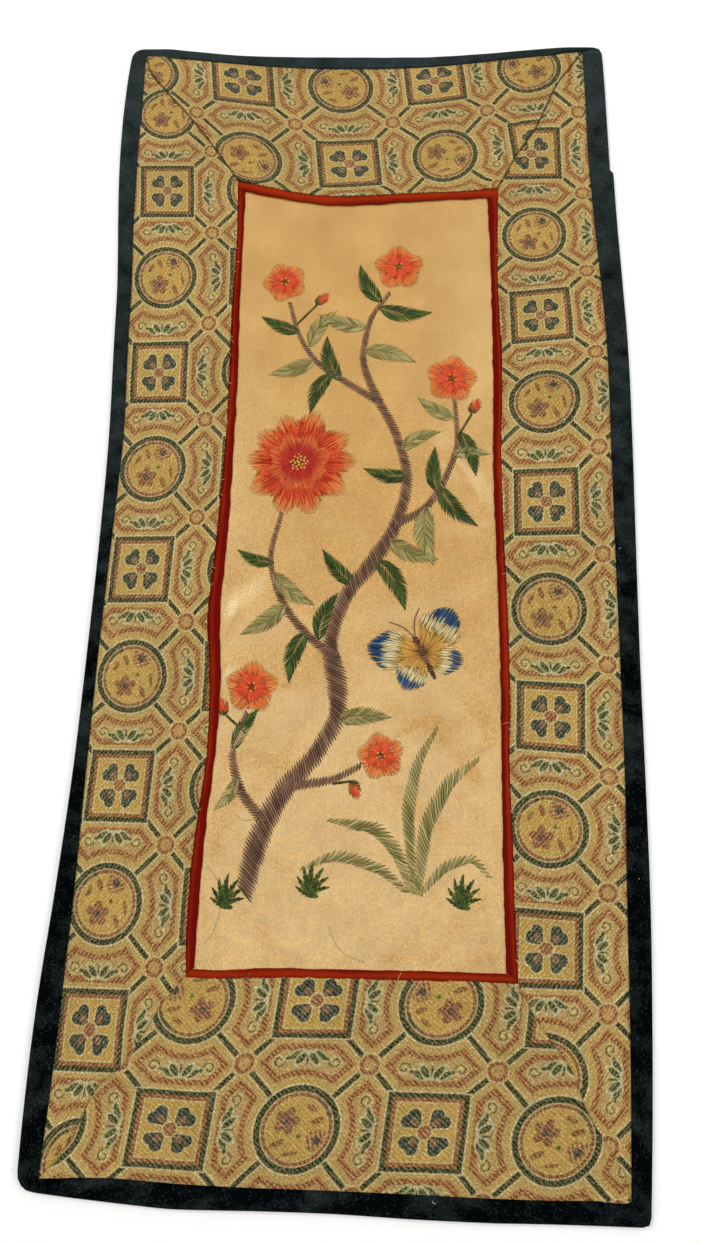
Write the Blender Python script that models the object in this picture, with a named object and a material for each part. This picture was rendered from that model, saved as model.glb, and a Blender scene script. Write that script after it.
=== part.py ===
# A silk embroidery panel lying face up: satin, red piping, brocade border and dark binding.
# Each sewn piece is a thin solid, flat below, cut to the uneven outline of the real cloth.
import math

import bmesh
import bpy
import numpy as np

MM = 0.001

# All sizes below are millimetres.
GAP = 0.3
SATIN_THICK = 1.0
PIPING_THICK = 2.1
BROCADE_THICK = 1.6
BINDING_THICK = 2.4

# Four closed lines run round the panel. From outside in they are the edge of the binding,
# the band line where binding meets brocade, the frame line where brocade meets piping,
# and the window line where piping meets satin.
# "up" is height on the panel from its foot and "across" is distance from its middle line.
SIDE_LINES = (
    ("up", "edge_left", "band_left", "band_right", "edge_right"),
    (0, -90.0, -83.8, 83.9, 89.8),
    (20, -90.2, -82.7, 84.8, 91.1),
    (50, -89.6, -81.8, 85.8, 92.6),
    (85, -87.4, -81.1, 86.5, 93.8),
    (122, -85.6, -81.0, 87.4, 94.1),
    (160, -84.9, -80.7, 87.5, 94.2),
    (200, -84.5, -79.9, 87.5, 94.7),
    (235, -84.8, -79.3, 87.6, 95.2),
    (270, -86.3, -80.8, 87.7, 95.3),
    (295, -87.3, -81.6, 86.6, 94.5),
    (320, -89.3, -83.1, 85.1, 93.6),
    (345, -91.0, -83.9, 83.9, 93.0),
    (385, -91.2, -84.5, 83.4, 92.3),
    (398, -90.4, -84.8, 83.0, 91.9),
)
END_LINES = (
    ("across", "edge_foot", "band_foot", "band_head", "edge_head"),
    (-92, 1.2, 4.0, 394.3, 398.4),
    (-78, -0.1, 4.9, 394.1, 398.6),
    (-60, -1.3, 5.4, 392.4, 396.5),
    (-45, -2.1, 4.8, 390.5, 395.0),
    (-25, -1.7, 4.6, 388.8, 394.3),
    (0, -1.4, 4.8, 388.1, 393.9),
    (25, -1.8, 4.8, 388.8, 393.8),
    (45, -1.8, 4.7, 390.8, 395.0),
    (62, -1.4, 4.9, 392.9, 396.5),
    (80, -1.2, 5.5, 394.4, 397.7),
    (92, -1.1, 5.6, 394.9, 397.2),
)
WINDOW_SIDE_LINES = (
    ("up", "frame_left", "window_left", "window_right", "frame_right"),
    (60, -45.3, -42.9, 50.6, 54.0),
    (80, -46.0, -42.6, 50.2, 53.3),
    (105, -44.9, -42.1, 50.0, 52.8),
    (125, -43.3, -40.6, 49.8, 52.1),
    (150, -43.9, -40.4, 49.9, 52.5),
    (172, -45.7, -42.0, 49.5, 52.0),
    (195, -44.4, -41.2, 48.9, 51.3),
    (230, -43.8, -41.0, 48.2, 50.9),
    (260, -43.8, -41.2, 48.5, 51.5),
    (290, -44.5, -42.2, 48.2, 50.3),
    (315, -44.3, -42.4, 47.6, 50.4),
    (338, -45.4, -42.8, 46.7, 50.9),
)
WINDOW_END_LINES = (
    ("across", "frame_foot", "window_foot", "window_head", "frame_head"),
    (-46, 60.0, 62.3, 335.3, 338.2),
    (-35, 59.9, 62.1, 332.2, 335.8),
    (-25, 60.4, 62.8, 330.2, 333.5),
    (-12, 61.0, 63.2, 328.1, 331.6),
    (3, 61.2, 63.6, 328.2, 331.8),
    (20, 61.5, 63.7, 329.6, 332.8),
    (38, 61.8, 63.9, 330.8, 333.6),
    (54, 61.7, 64.1, 331.2, 335.0),
)

# Outer corners of the binding, and the place on its right edge where the fold grows wider
CORNER_RADIUS = {"foot_left": 4.5, "foot_right": 2.0, "head_left": 4.0, "head_right": 2.6}
STEP_UP = 342.0
STEP_WIDTH = 1.1
STEP_SPAN = 0.8

# The mitred brocade seams wander: how far each lies to the side of its straight line,
# at shares of its length from the band line in to the frame line
SEAM_BENDS = (
    ("share", "head_left", "head_right", "foot_left", "foot_right"),
    (0.00, 0.0, 0.0, 0.0, 0.0),
    (0.10, -2.2, -0.7, -1.2, -1.9),
    (0.25, -1.7, -1.7, -0.3, -1.2),
    (0.42, -0.6, -0.6, 1.6, -0.9),
    (0.57, 0.0, 0.2, -0.7, -2.2),
    (0.72, 0.2, -0.5, 0.0, -0.8),
    (0.85, 0.2, -0.5, 0.7, 0.3),
    (1.00, 0.0, 0.0, 0.0, 0.0),
)

# Sections across a strip, from its outer line in: share of its width, share of its thickness
BINDING_SECTION = (
    ("across", "height"),
    (0.00, 0.50),
    (0.10, 0.84),
    (0.30, 1.00),
    (0.72, 0.98),
    (0.92, 0.86),
    (1.00, 0.66),
)
PIPING_SECTION = (
    ("across", "height"),
    (0.00, 0.72),
    (0.25, 0.96),
    (0.60, 1.00),
    (0.86, 0.88),
    (1.00, 0.62),
)
BROCADE_SECTION = (
    ("across", "height"),
    (0.00, 0.84),
    (0.06, 0.96),
    (0.25, 1.00),
    (0.50, 1.00),
    (0.75, 1.02),
    (0.95, 1.08),
    (1.00, 0.88),
)
# The brocade head and foot strips are folded under at their ends and lie over the sides:
# extra height at shares of the strip's length from each end
LAP_RISE = (
    ("share", "rise"),
    (0.000, 0.25),
    (0.012, 0.50),
    (0.045, 0.45),
    (0.065, 0.00),
)

# Soft ridges where the satin stands a little proud of the surface
PUCKERS = (
    ("across", "up", "length", "width", "turn", "rise"),
    (30, 220, 62, 18, 72, 0.55),
    (-21, 222, 54, 16, 80, 0.45),
    (-36, 176, 58, 9, 84, 0.50),
    (40, 126, 70, 13, 68, 0.60),
    (-38, 118, 84, 5, 93, 0.55),
    (8, 300, 80, 20, 12, 0.35),
    (22, 84, 60, 14, 150, 0.40),
    (-14, 150, 60, 12, 40, 0.35),
)

# How fast the ridges die away towards the satin's ends and sides
END_FADE = 14
SIDE_FADE = 9

# Stations along a strip, and the shares of its length that round the binding's corners
STATIONS = {
    "binding_side": 26,
    "binding_end": 16,
    "brocade_side": 20,
    "brocade_end": 12,
    "piping_side": 24,
    "piping_end": 14,
    "satin_up": 30,
    "satin_across": 14,
}
SIDE_CORNER_SHARES = (0.003, 0.007, 0.011)
END_CORNER_SHARES = (0.006, 0.014, 0.022)
SHARP_ANGLE = math.radians(40)

# Colour, roughness
FINISHES = {
    "satin": ((0.72, 0.49, 0.27), 0.38),
    "piping": ((0.30, 0.012, 0.008), 0.60),
    "brocade": ((0.42, 0.27, 0.10), 0.70),
    "binding": ((0.012, 0.022, 0.028), 0.85),
}


def column(table, name):
    place = table[0].index(name)
    return np.array([row[place] for row in table[1:]], float)


def smooth_line(table, along, name):
    """A smooth curve through one column of a table, read at any place along it."""
    at = column(table, along)
    values = column(table, name)
    slopes = np.gradient(values, at)

    def read(where):
        where = np.clip(np.asarray(where, float), at[0], at[-1])
        k = np.clip(np.searchsorted(at, where, side="right") - 1, 0, len(at) - 2)
        span = at[k + 1] - at[k]
        t = (where - at[k]) / span
        start = (1 + 2 * t) * (1 - t) ** 2 * values[k] + t * (1 - t) ** 2 * span * slopes[k]
        finish = t * t * (3 - 2 * t) * values[k + 1] - t * t * (1 - t) * span * slopes[k + 1]
        return start + finish

    return read


def read_lines():
    lines = {}
    tables = ((SIDE_LINES, END_LINES), (WINDOW_SIDE_LINES, WINDOW_END_LINES))
    for side_table, end_table in tables:
        for table in (side_table, end_table):
            for name in table[0][1:]:
                lines[name] = smooth_line(table, table[0][0], name)
    return lines


LINES = read_lines()


def corner(ring, end, side):
    """Where a ring's end line and side line cross."""
    across_line = LINES[f"{ring}_{side}"]
    up_line = LINES[f"{ring}_{end}"]
    up = float(up_line(0.0))
    for _ in range(6):
        across = float(across_line(up))
        up = float(up_line(across))
    return np.array([across, up])


def arc_inset(distance, radius):
    """How far a round corner lies inside the square one, this far along from it."""
    short = np.clip(radius - distance, 0.0, radius)
    return radius - np.sqrt(radius**2 - short**2)


def mid_arc(radius):
    """How far the middle of a round corner lies inside the square one, on each axis."""
    return radius * (1 - math.sqrt(0.5))


def edge_side(side, up):
    """The binding's outer edge up one side, with its round corners and its step."""
    inward = 1 if side == "left" else -1
    across = LINES[f"edge_{side}"](up)
    if side == "right":
        across = across - STEP_WIDTH * np.clip((up - STEP_UP) / STEP_SPAN + 0.5, 0, 1)
    for end in ("foot", "head"):
        distance = np.abs(up - corner("edge", end, side)[1])
        across = across + inward * arc_inset(distance, CORNER_RADIUS[f"{end}_{side}"])
    return across


def edge_end(end, across):
    """The binding's outer edge along its foot or head, with its round corners."""
    inward = 1 if end == "foot" else -1
    up = LINES[f"edge_{end}"](across)
    for side in ("left", "right"):
        distance = np.abs(across - edge_corner(end, side)[0])
        up = up + inward * arc_inset(distance, CORNER_RADIUS[f"{end}_{side}"])
    return up


def edge_corner(end, side):
    """The square corner of the edge ring, the head right one inside the step."""
    across, up = corner("edge", end, side)
    if (end, side) == ("head", "right"):
        across -= STEP_WIDTH
    return np.array([across, up])


def ring_corner(ring, end, side):
    """The point that a mitre starts or ends on. On the edge ring it is the middle of the arc."""
    if ring != "edge":
        return corner(ring, end, side)
    inset = mid_arc(CORNER_RADIUS[f"{end}_{side}"])
    toward = np.array([1 if side == "left" else -1, 1 if end == "foot" else -1])
    return edge_corner(end, side) + inset * toward


def side_run(ring, side, low, high, shares):
    """Points up a ring's side between two heights."""
    up = low + (high - low) * shares
    across = edge_side(side, up) if ring == "edge" else LINES[f"{ring}_{side}"](up)
    return np.stack([across, up], axis=1)


def end_run(ring, end, left, right, shares):
    """Points along a ring's foot or head between two places across."""
    across = left + (right - left) * shares
    up = edge_end(end, across) if ring == "edge" else LINES[f"{ring}_{end}"](across)
    return np.stack([across, up], axis=1)


def seam(outer_point, inner_point, shares, bend_name=None):
    """A seam from the outer line to the inner one, straight or wandering."""
    run = inner_point - outer_point
    points = outer_point + shares[:, None] * run
    if bend_name:
        bend = smooth_line(SEAM_BENDS, "share", bend_name)(shares)
        beside = np.array([-run[1], run[0]]) / np.linalg.norm(run)
        points = points + bend[:, None] * beside
    return points


def inset_loop(points, amount):
    """A closed outline drawn in by the same amount all round."""
    before = points - np.roll(points, 1, axis=0)
    after = np.roll(points, -1, axis=0) - points
    area = np.cross(points, np.roll(points, -1, axis=0)).sum()
    inward = 1 if area > 0 else -1

    def normal(step):
        unit = step / np.linalg.norm(step, axis=1)[:, None]
        return inward * np.stack([-unit[:, 1], unit[:, 0]], axis=1)

    first = normal(before)
    second = normal(after)
    lean = 1 + (first * second).sum(axis=1)
    return points + amount * (first + second) / np.maximum(lean, 0.3)[:, None]


def patch(outer, inner, start, finish, shares, sections):
    """A grid of plan points that fills four lines, after half a gap is drawn in all round."""
    stations = len(shares)
    rows = len(sections)
    loop = np.concatenate([outer[:-1], finish[:-1], inner[:0:-1], start[:0:-1]])
    loop = inset_loop(loop, GAP / 2)
    loop = np.concatenate([loop, loop[:1]])
    outer = loop[:stations]
    finish = loop[stations - 1 : stations + rows - 1]
    inner = loop[stations + rows - 2 : 2 * stations + rows - 2][::-1]
    start = loop[2 * stations + rows - 3 :][::-1]
    u = shares[:, None, None]
    v = sections[None, :, None]
    ruled = (1 - v) * outer[:, None] + v * inner[:, None]
    swept = (1 - u) * start[None] + u * finish[None]
    along_outer = (1 - u) * outer[0] + u * outer[-1]
    along_inner = (1 - u) * inner[0] + u * inner[-1]
    return ruled + swept - (1 - v) * along_outer - v * along_inner


def stations(count, near_ends=(), extra=()):
    """Shares along a strip, evenly spaced but for the ones that a corner, lap or step needs."""
    clear = max(near_ends, default=0)
    shares = {0.0, 1.0} | set(near_ends) | {1 - share for share in near_ends} | set(extra)
    for share in np.linspace(0, 1, count + 1):
        if clear < share < 1 - clear:
            shares.add(float(share))
    return np.array(sorted(shares))


def make_material(name):
    colour, roughness = FINISHES[name]
    material = bpy.data.materials.new(name)
    material.use_nodes = True
    shader = material.node_tree.nodes["Principled BSDF"]
    shader.inputs["Base Color"].default_value = (*colour, 1)
    shader.inputs["Roughness"].default_value = roughness
    shader.inputs["Metallic"].default_value = 0
    return material


def make_piece(name, finish, plan, heights, parent):
    """A closed solid: the plan grid raised to its heights, straight walls and a flat underside."""
    middle = (plan.reshape(-1, 2).min(axis=0) + plan.reshape(-1, 2).max(axis=0)) / 2
    local = (plan - middle) * MM
    rows, columns = heights.shape
    bm = bmesh.new()
    top = []
    for i in range(rows):
        line = [bm.verts.new((*local[i, j], heights[i, j] * MM)) for j in range(columns)]
        top.append(line)
    for i in range(rows - 1):
        for j in range(columns - 1):
            bm.faces.new((top[i][j], top[i + 1][j], top[i + 1][j + 1], top[i][j + 1]))
    rim = [top[i][0] for i in range(rows - 1)]
    rim += [top[-1][j] for j in range(columns - 1)]
    rim += [top[i][-1] for i in range(rows - 1, 0, -1)]
    rim += [top[0][j] for j in range(columns - 1, 0, -1)]
    foot = [bm.verts.new((vert.co.x, vert.co.y, 0)) for vert in rim]
    for k, vert in enumerate(rim):
        after = (k + 1) % len(rim)
        bm.faces.new((rim[after], vert, foot[k], foot[after]))
    bm.faces.new(foot)
    bmesh.ops.recalc_face_normals(bm, faces=bm.faces)
    mesh = bpy.data.meshes.new(name)
    bm.to_mesh(mesh)
    bm.free()
    mesh.materials.append(make_material(finish))
    mesh.shade_smooth()
    mesh.set_sharp_from_angle(angle=SHARP_ANGLE)
    piece = bpy.data.objects.new(name, mesh)
    bpy.context.collection.objects.link(piece)
    piece.parent = parent
    piece.location = (*(middle * MM), 0)
    return piece


def side_strip(rings, side, crossing_head, near_ends, extra, sections, count, bends):
    """A strip up one side, between two rings, cut on the mitre or square under the head strip."""
    outer_ring, inner_ring = rings
    outer_low = ring_corner(outer_ring, "foot", side)
    outer_high = ring_corner(outer_ring, "head", side)
    inner_low = ring_corner(inner_ring, "foot", side)
    inner_high = ring_corner(inner_ring, "head", side)
    if crossing_head:
        outer_high = np.array([float(LINES[f"{outer_ring}_{side}"](inner_high[1])), inner_high[1]])
    extra_shares = [(up - outer_low[1]) / (outer_high[1] - outer_low[1]) for up in extra]
    shares = stations(count, near_ends, extra_shares)
    outer = side_run(outer_ring, side, outer_low[1], outer_high[1], shares)
    inner = side_run(inner_ring, side, inner_low[1], inner_high[1], shares)
    start = seam(outer[0], inner[0], sections, f"foot_{side}" if bends else None)
    finish = seam(outer[-1], inner[-1], sections, f"head_{side}" if bends else None)
    return patch(outer, inner, start, finish, shares, sections), shares


def end_strip(rings, end, crossing, near_ends, sections, count, bends):
    """A strip along the foot or head, between two rings, mitred or crossing over the sides."""
    outer_ring, inner_ring = rings
    outer_left = ring_corner(outer_ring, end, "left")[0]
    outer_right = ring_corner(outer_ring, end, "right")[0]
    inner_left = outer_left if crossing else ring_corner(inner_ring, end, "left")[0]
    inner_right = outer_right if crossing else ring_corner(inner_ring, end, "right")[0]
    shares = stations(count, near_ends)
    outer = end_run(outer_ring, end, outer_left, outer_right, shares)
    inner = end_run(inner_ring, end, inner_left, inner_right, shares)
    start = seam(outer[0], inner[0], sections, f"{end}_left" if bends else None)
    finish = seam(outer[-1], inner[-1], sections, f"{end}_right" if bends else None)
    return patch(outer, inner, start, finish, shares, sections), shares


def section_heights(section, thick, shares):
    return np.tile(column(section, "height") * thick, (len(shares), 1))


def make_binding(parent):
    sections = column(BINDING_SECTION, "across")
    step_ends = (STEP_UP - STEP_SPAN / 2, STEP_UP + STEP_SPAN / 2)
    for side in ("left", "right"):
        extra = step_ends if side == "right" else ()
        plan, shares = side_strip(
            ("edge", "band"), side, False, SIDE_CORNER_SHARES, extra, sections, STATIONS["binding_side"], False
        )
        heights = section_heights(BINDING_SECTION, BINDING_THICK, shares)
        make_piece(f"binding_{side}", "binding", plan, heights, parent)
    for end, place in (("foot", "bottom"), ("head", "top")):
        plan, shares = end_strip(
            ("edge", "band"), end, False, END_CORNER_SHARES, sections, STATIONS["binding_end"], False
        )
        heights = section_heights(BINDING_SECTION, BINDING_THICK, shares)
        make_piece(f"binding_{place}", "binding", plan, heights, parent)


def make_brocade(parent):
    sections = np.unique(np.concatenate([column(BROCADE_SECTION, "across"), column(SEAM_BENDS, "share")]))
    profile = np.interp(sections, column(BROCADE_SECTION, "across"), column(BROCADE_SECTION, "height"))
    for side in ("left", "right"):
        plan, shares = side_strip(
            ("band", "frame"), side, False, (), (), sections, STATIONS["brocade_side"], True
        )
        heights = np.tile(profile * BROCADE_THICK, (len(shares), 1))
        make_piece(f"brocade_{side}", "brocade", plan, heights, parent)
    lap_shares = tuple(column(LAP_RISE, "share")[1:])
    for end, place in (("foot", "bottom"), ("head", "top")):
        plan, shares = end_strip(
            ("band", "frame"), end, False, lap_shares, sections, STATIONS["brocade_end"], True
        )
        from_end = np.minimum(shares, 1 - shares)
        rise = np.interp(from_end, column(LAP_RISE, "share"), column(LAP_RISE, "rise"))
        heights = profile[None, :] * BROCADE_THICK + rise[:, None]
        make_piece(f"brocade_{place}", "brocade", plan, heights, parent)


def make_piping(parent):
    sections = column(PIPING_SECTION, "across")
    for side in ("left", "right"):
        plan, shares = side_strip(
            ("frame", "window"), side, True, (), (), sections, STATIONS["piping_side"], False
        )
        heights = section_heights(PIPING_SECTION, PIPING_THICK, shares)
        make_piece(f"piping_{side}", "piping", plan, heights, parent)
    for end, place in (("foot", "bottom"), ("head", "top")):
        crossing = end == "head"
        plan, shares = end_strip(
            ("frame", "window"), end, crossing, (), sections, STATIONS["piping_end"], False
        )
        heights = section_heights(PIPING_SECTION, PIPING_THICK, shares)
        make_piece(f"piping_{place}", "piping", plan, heights, parent)


def pucker_height(across, up):
    """Height of the satin's soft ridges at a place on the panel."""
    total = np.zeros_like(across)
    for middle_across, middle_up, length, width, turn, rise in PUCKERS[1:]:
        angle = math.radians(turn)
        along = (across - middle_across) * math.cos(angle) + (up - middle_up) * math.sin(angle)
        aside = (up - middle_up) * math.cos(angle) - (across - middle_across) * math.sin(angle)
        along_share = np.clip(np.abs(along) / (length / 2), 0, 1)
        aside_share = np.clip(np.abs(aside) / width, 0, 1)
        fall = (1 + np.cos(math.pi * along_share)) * (1 + np.cos(math.pi * aside_share)) / 4
        total += rise * fall
    return total


def make_satin(parent):
    shares = np.linspace(0, 1, STATIONS["satin_up"] + 1)
    sections = np.linspace(0, 1, STATIONS["satin_across"] + 1)
    low_left = ring_corner("window", "foot", "left")
    low_right = ring_corner("window", "foot", "right")
    high_left = ring_corner("window", "head", "left")
    high_right = ring_corner("window", "head", "right")
    left = side_run("window", "left", low_left[1], high_left[1], shares)
    right = side_run("window", "right", low_right[1], high_right[1], shares)
    foot = end_run("window", "foot", low_left[0], low_right[0], sections)
    head = end_run("window", "head", high_left[0], high_right[0], sections)
    plan = patch(left, right, foot, head, shares, sections)
    rim_fade = np.minimum(1, END_FADE * shares * (1 - shares))[:, None]
    rim_fade = rim_fade * np.minimum(1, SIDE_FADE * sections * (1 - sections))[None, :]
    heights = SATIN_THICK + rim_fade * pucker_height(plan[..., 0], plan[..., 1])
    make_piece("satin_ground", "satin", plan, heights, parent)


def clear_scene():
    for thing in list(bpy.data.objects):
        bpy.data.objects.remove(thing, do_unlink=True)


def make_panel():
    """An empty at the middle of the sheet's outline carries every piece."""
    clear_scene()
    panel = bpy.data.objects.new("panel", None)
    bpy.context.collection.objects.link(panel)
    make_satin(panel)
    make_piping(panel)
    make_brocade(panel)
    make_binding(panel)
    corners = []
    for piece in panel.children:
        for vert in piece.data.vertices:
            corners.append(vert.co + piece.location)
    low = np.min(corners, axis=0)
    high = np.max(corners, axis=0)
    panel.location = (-(low[0] + high[0]) / 2, -(low[1] + high[1]) / 2, 0)


make_panel()
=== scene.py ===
import math
import random

import bpy
import numpy as np
from mathutils import Euler, Matrix, Vector


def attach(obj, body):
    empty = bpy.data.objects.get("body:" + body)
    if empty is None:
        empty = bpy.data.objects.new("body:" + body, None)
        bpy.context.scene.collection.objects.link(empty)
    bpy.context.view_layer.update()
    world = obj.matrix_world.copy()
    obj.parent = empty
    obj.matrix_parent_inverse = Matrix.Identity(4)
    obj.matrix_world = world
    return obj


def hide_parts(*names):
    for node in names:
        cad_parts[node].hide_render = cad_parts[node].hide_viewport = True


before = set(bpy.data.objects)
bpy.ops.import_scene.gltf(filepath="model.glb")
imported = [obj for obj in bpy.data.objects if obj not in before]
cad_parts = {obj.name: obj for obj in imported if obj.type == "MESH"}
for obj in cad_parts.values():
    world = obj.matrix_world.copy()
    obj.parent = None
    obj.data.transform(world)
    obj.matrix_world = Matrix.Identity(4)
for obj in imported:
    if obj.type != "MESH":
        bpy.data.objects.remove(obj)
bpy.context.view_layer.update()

# Plan places are millimetres on the panel: across from its middle line, up from its foot.
mm = 0.001
frameMiddle = np.array([1.916, 198.243])  # where the frame's origin lies on the panel


def inFrame(plan, height):
    return np.concatenate([(plan - frameMiddle) * mm, (height * mm)[..., None]], axis=-1)


# Shader maths

class Wire:
    # one output socket, so that sums on it add Math nodes
    def __init__(self, finish, socket):
        self.finish = finish
        self.socket = socket

    def maths(self, operation, *others):
        links = {place + 1: other for place, other in enumerate(others)}
        return self.finish.add("ShaderNodeMath", {"operation": operation}, {0: self, **links})

    def __add__(self, other):
        return self.maths("ADD", other)

    def __sub__(self, other):
        return self.maths("SUBTRACT", other)

    def __rsub__(self, other):
        return self.finish.add("ShaderNodeMath", {"operation": "SUBTRACT"}, {0: other, 1: self})

    def __mul__(self, other):
        return self.maths("MULTIPLY", other)

    def __pow__(self, other):
        return self.maths("POWER", other)

    def __lt__(self, other):
        return self.maths("LESS_THAN", other)

    def __gt__(self, other):
        return self.maths("GREATER_THAN", other)

    __radd__ = __add__
    __rmul__ = __mul__


class Finish:
    # one material and the nodes in it
    def __init__(self, name, **sockets):
        self.material = bpy.data.materials.new(name)
        self.material.use_nodes = True
        self.tree = self.material.node_tree
        self.shader = self.tree.nodes["Principled BSDF"]
        self.set(**sockets)

    def set(self, **sockets):
        for name, value in sockets.items():
            words = "".join(" " + c if c.isupper() else c for c in name).strip().title()
            self.feed(self.shader.inputs[words.replace("Ior", "IOR")], value)

    def feed(self, socket, value):
        if isinstance(value, Wire):
            self.tree.links.new(value.socket, socket)
        else:
            socket.default_value = value

    def add(self, kind, settings, links, output=0):
        node = self.tree.nodes.new(kind)
        for key, value in settings.items():
            setattr(node, key, value)
        for key, value in links.items():
            self.feed(node.inputs[key], value)
        return Wire(self, node.outputs[output])

    def mix(self, share, first, second):
        return self.add("ShaderNodeMix", {"data_type": "RGBA"}, {0: share, 6: first, 7: second}, 2)

    def scaled(self, colour, amount):
        return self.add("ShaderNodeVectorMath", {"operation": "SCALE"}, {0: colour, "Scale": amount})

    def read(self, name):
        # an attribute of the mesh, whole and in its three parts
        vector = self.add("ShaderNodeAttribute", {"attribute_name": name}, {}, 1)
        return vector, self.parts(vector)

    def parts(self, vector):
        node = self.add("ShaderNodeSeparateXYZ", {}, {0: vector}).socket.node
        return [Wire(self, socket) for socket in node.outputs]

    def joined(self, x, y, z=0.0):
        return self.add("ShaderNodeCombineXYZ", {}, {0: x, 1: y, 2: z})

    def noise(self, vector, scale, detail=2.0, roughness=0.5, output=0):
        links = {"Vector": vector, "Scale": scale, "Detail": detail, "Roughness": roughness}
        return self.add("ShaderNodeTexNoise", {}, links, output)

    def chance(self, x, y, z=0.0, dimensions="2D"):
        # a number of its own for each whole place
        vector = self.joined(x, y, z)
        return self.add("ShaderNodeTexWhiteNoise", {"noise_dimensions": dimensions}, {"Vector": vector})

    def bump(self, height, distance):
        self.set(normal=self.add("ShaderNodeBump", {}, {"Height": height, "Distance": distance}))


def ink(red, green, blue):
    # a colour by its screen values, 0 to 255
    def line(value):
        value = value / 255
        return value / 12.92 if value < 0.04045 else ((value + 0.055) / 1.055) ** 2.4
    return (line(red), line(green), line(blue), 1.0)


def either(operation, plain):
    # a sum that works on numbers for the shapes and on wires for the colours
    def work(a, *others):
        return a.maths(operation, *others) if isinstance(a, Wire) else plain(a, *others)
    return work


least = either("MINIMUM", np.minimum)
most = either("MAXIMUM", np.maximum)
size = either("ABSOLUTE", np.abs)
whole = either("FLOOR", np.floor)
nearest = either("ROUND", np.round)
root = either("SQRT", np.sqrt)
sine = either("SINE", np.sin)
cosine = either("COSINE", np.cos)
angleOf = either("ARCTAN2", np.arctan2)
folded = either("PINGPONG", lambda a, fold: fold - np.abs(np.abs(a) % (2 * fold) - fold))


def held(a):
    return most(least(a, 1.0), 0.0)  # between 0 and 1


def away(x, y):
    return root(x * x + y * y)


def near(a, middle, half):
    # 1 within half of the middle
    return size(a - middle) < half


# Outlines read from the frame

def footprint(node):
    # the outline of a node's underside, counterclockwise, in plan millimetres
    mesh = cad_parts[node].data
    places = np.array([vert.co for vert in mesh.vertices]) / mm
    keys = [tuple(place) for place in np.round(places[:, :2], 2)]
    low = places[:, 2] < 0.05
    edges = set()
    for face in mesh.polygons:
        if all(low[v] for v in face.vertices):
            corners = [keys[v] for v in face.vertices]
            edges.update(zip(corners, corners[1:] + corners[:1]))
    follow = {b: a for a, b in edges if (b, a) not in edges}
    loop = [next(iter(sorted(follow)))]
    while follow[loop[-1]] != loop[0]:
        loop.append(follow[loop[-1]])
    return np.array(loop) + frameMiddle


def smoothRun(points):
    # a smooth line through points, read at shares of its length and straight beyond its ends
    steps = np.linalg.norm(np.diff(points, axis=0), axis=1)
    at = np.concatenate([[0.0], np.cumsum(steps)])
    slope = np.diff(points, axis=0) / steps[:, None]
    same = slope[1:] * slope[:-1] > 0
    total = np.where(same, slope[1:] + slope[:-1], 1.0)
    middle = np.where(same, 2 * slope[1:] * slope[:-1] / total, 0.0)
    tangent = np.concatenate([slope[:1], middle, slope[-1:]])

    def read(shares):
        where = np.asarray(shares, float) * at[-1]
        inside = np.clip(where, 0, at[-1])
        k = np.clip(np.searchsorted(at, inside, side="right") - 1, 0, len(steps) - 1)
        span = steps[k][..., None]
        t = ((inside - at[k]) / steps[k])[..., None]
        start = (1 + 2 * t) * (1 - t) ** 2 * points[k] + t * (1 - t) ** 2 * span * tangent[k]
        finish = t * t * (3 - 2 * t) * points[k + 1] - t * t * (1 - t) * span * tangent[k + 1]
        beyond = (where - inside)[..., None] * tangent[np.where(where < inside, 0, -1)]
        return start + finish + beyond

    read.length = at[-1]
    return read


# The ways in which the corners of a side strip, an end strip and the middle piece stand out: where
# the outer line starts and ends, then where the inner one does
standOut = {
    "side": ((-0.4, -0.92), (-0.4, 0.92), (0.95, -0.3), (0.95, 0.3)),
    "end": ((-0.92, -0.4), (0.92, -0.4), (-0.3, 0.95), (0.3, 0.95)),
    "middle": ((-1.0, -0.9), (-1.0, 0.9), (1.0, -0.9), (1.0, 0.9)),
}


def fourLines(node, place, lean=1.0):
    # the outer and inner lines of a piece and its two ends, as smooth runs
    loop = footprint(node)
    kind, mirror = {
        "left": ("side", (1, lean)),
        "right": ("side", (-1, lean)),
        "bottom": ("end", (lean, 1)),
        "top": ("end", (lean, -1)),
        "middle": ("middle", (1, 1)),
    }[place]
    corners = [int(np.argmax(loop @ (np.array(way) * mirror))) for way in standOut[kind]]

    def between(first, last):
        # the outline from corner to corner, the way round that meets no other corner
        a, b, count = corners[first], corners[last], len(loop)
        path = [k % count for k in range(a, a + (b - a) % count + 1)]
        if (set(corners) - {a, b}) & set(path):
            path = [k % count for k in range(a, a - (a - b) % count - 1, -1)]
        return smoothRun(loop[path])

    return {"outer": between(0, 1), "inner": between(2, 3), "start": between(0, 2), "finish": between(1, 3)}


def planOf(lines, along, across):
    # plan points at shares along and across a strip, between its four lines
    outer, inner, start, finish = (lines[key] for key in ("outer", "inner", "start", "finish"))
    u, v = along[..., None], across[..., None]
    ruled = (1 - v) * outer(along) + v * inner(along)
    swept = (1 - u) * start(across) + u * finish(across)
    startCorners = (1 - v) * outer(0.0) + v * inner(0.0)
    finishCorners = (1 - v) * outer(1.0) + v * inner(1.0)
    return ruled + swept - (1 - u) * startCorners - u * finishCorners


def waves(x, y, length, seed):
    # soft unevenness from -1 to 1, about as long as the length given
    picks = random.Random(seed)
    total = np.zeros_like(x)
    for _ in range(7):
        turn = picks.uniform(0, 2 * math.pi)
        pitch = 2 * math.pi / (length * picks.uniform(0.6, 1.7))
        total = total + np.sin((x * math.cos(turn) + y * math.sin(turn)) * pitch + picks.uniform(0, 6.28))
    return total / 4


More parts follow.
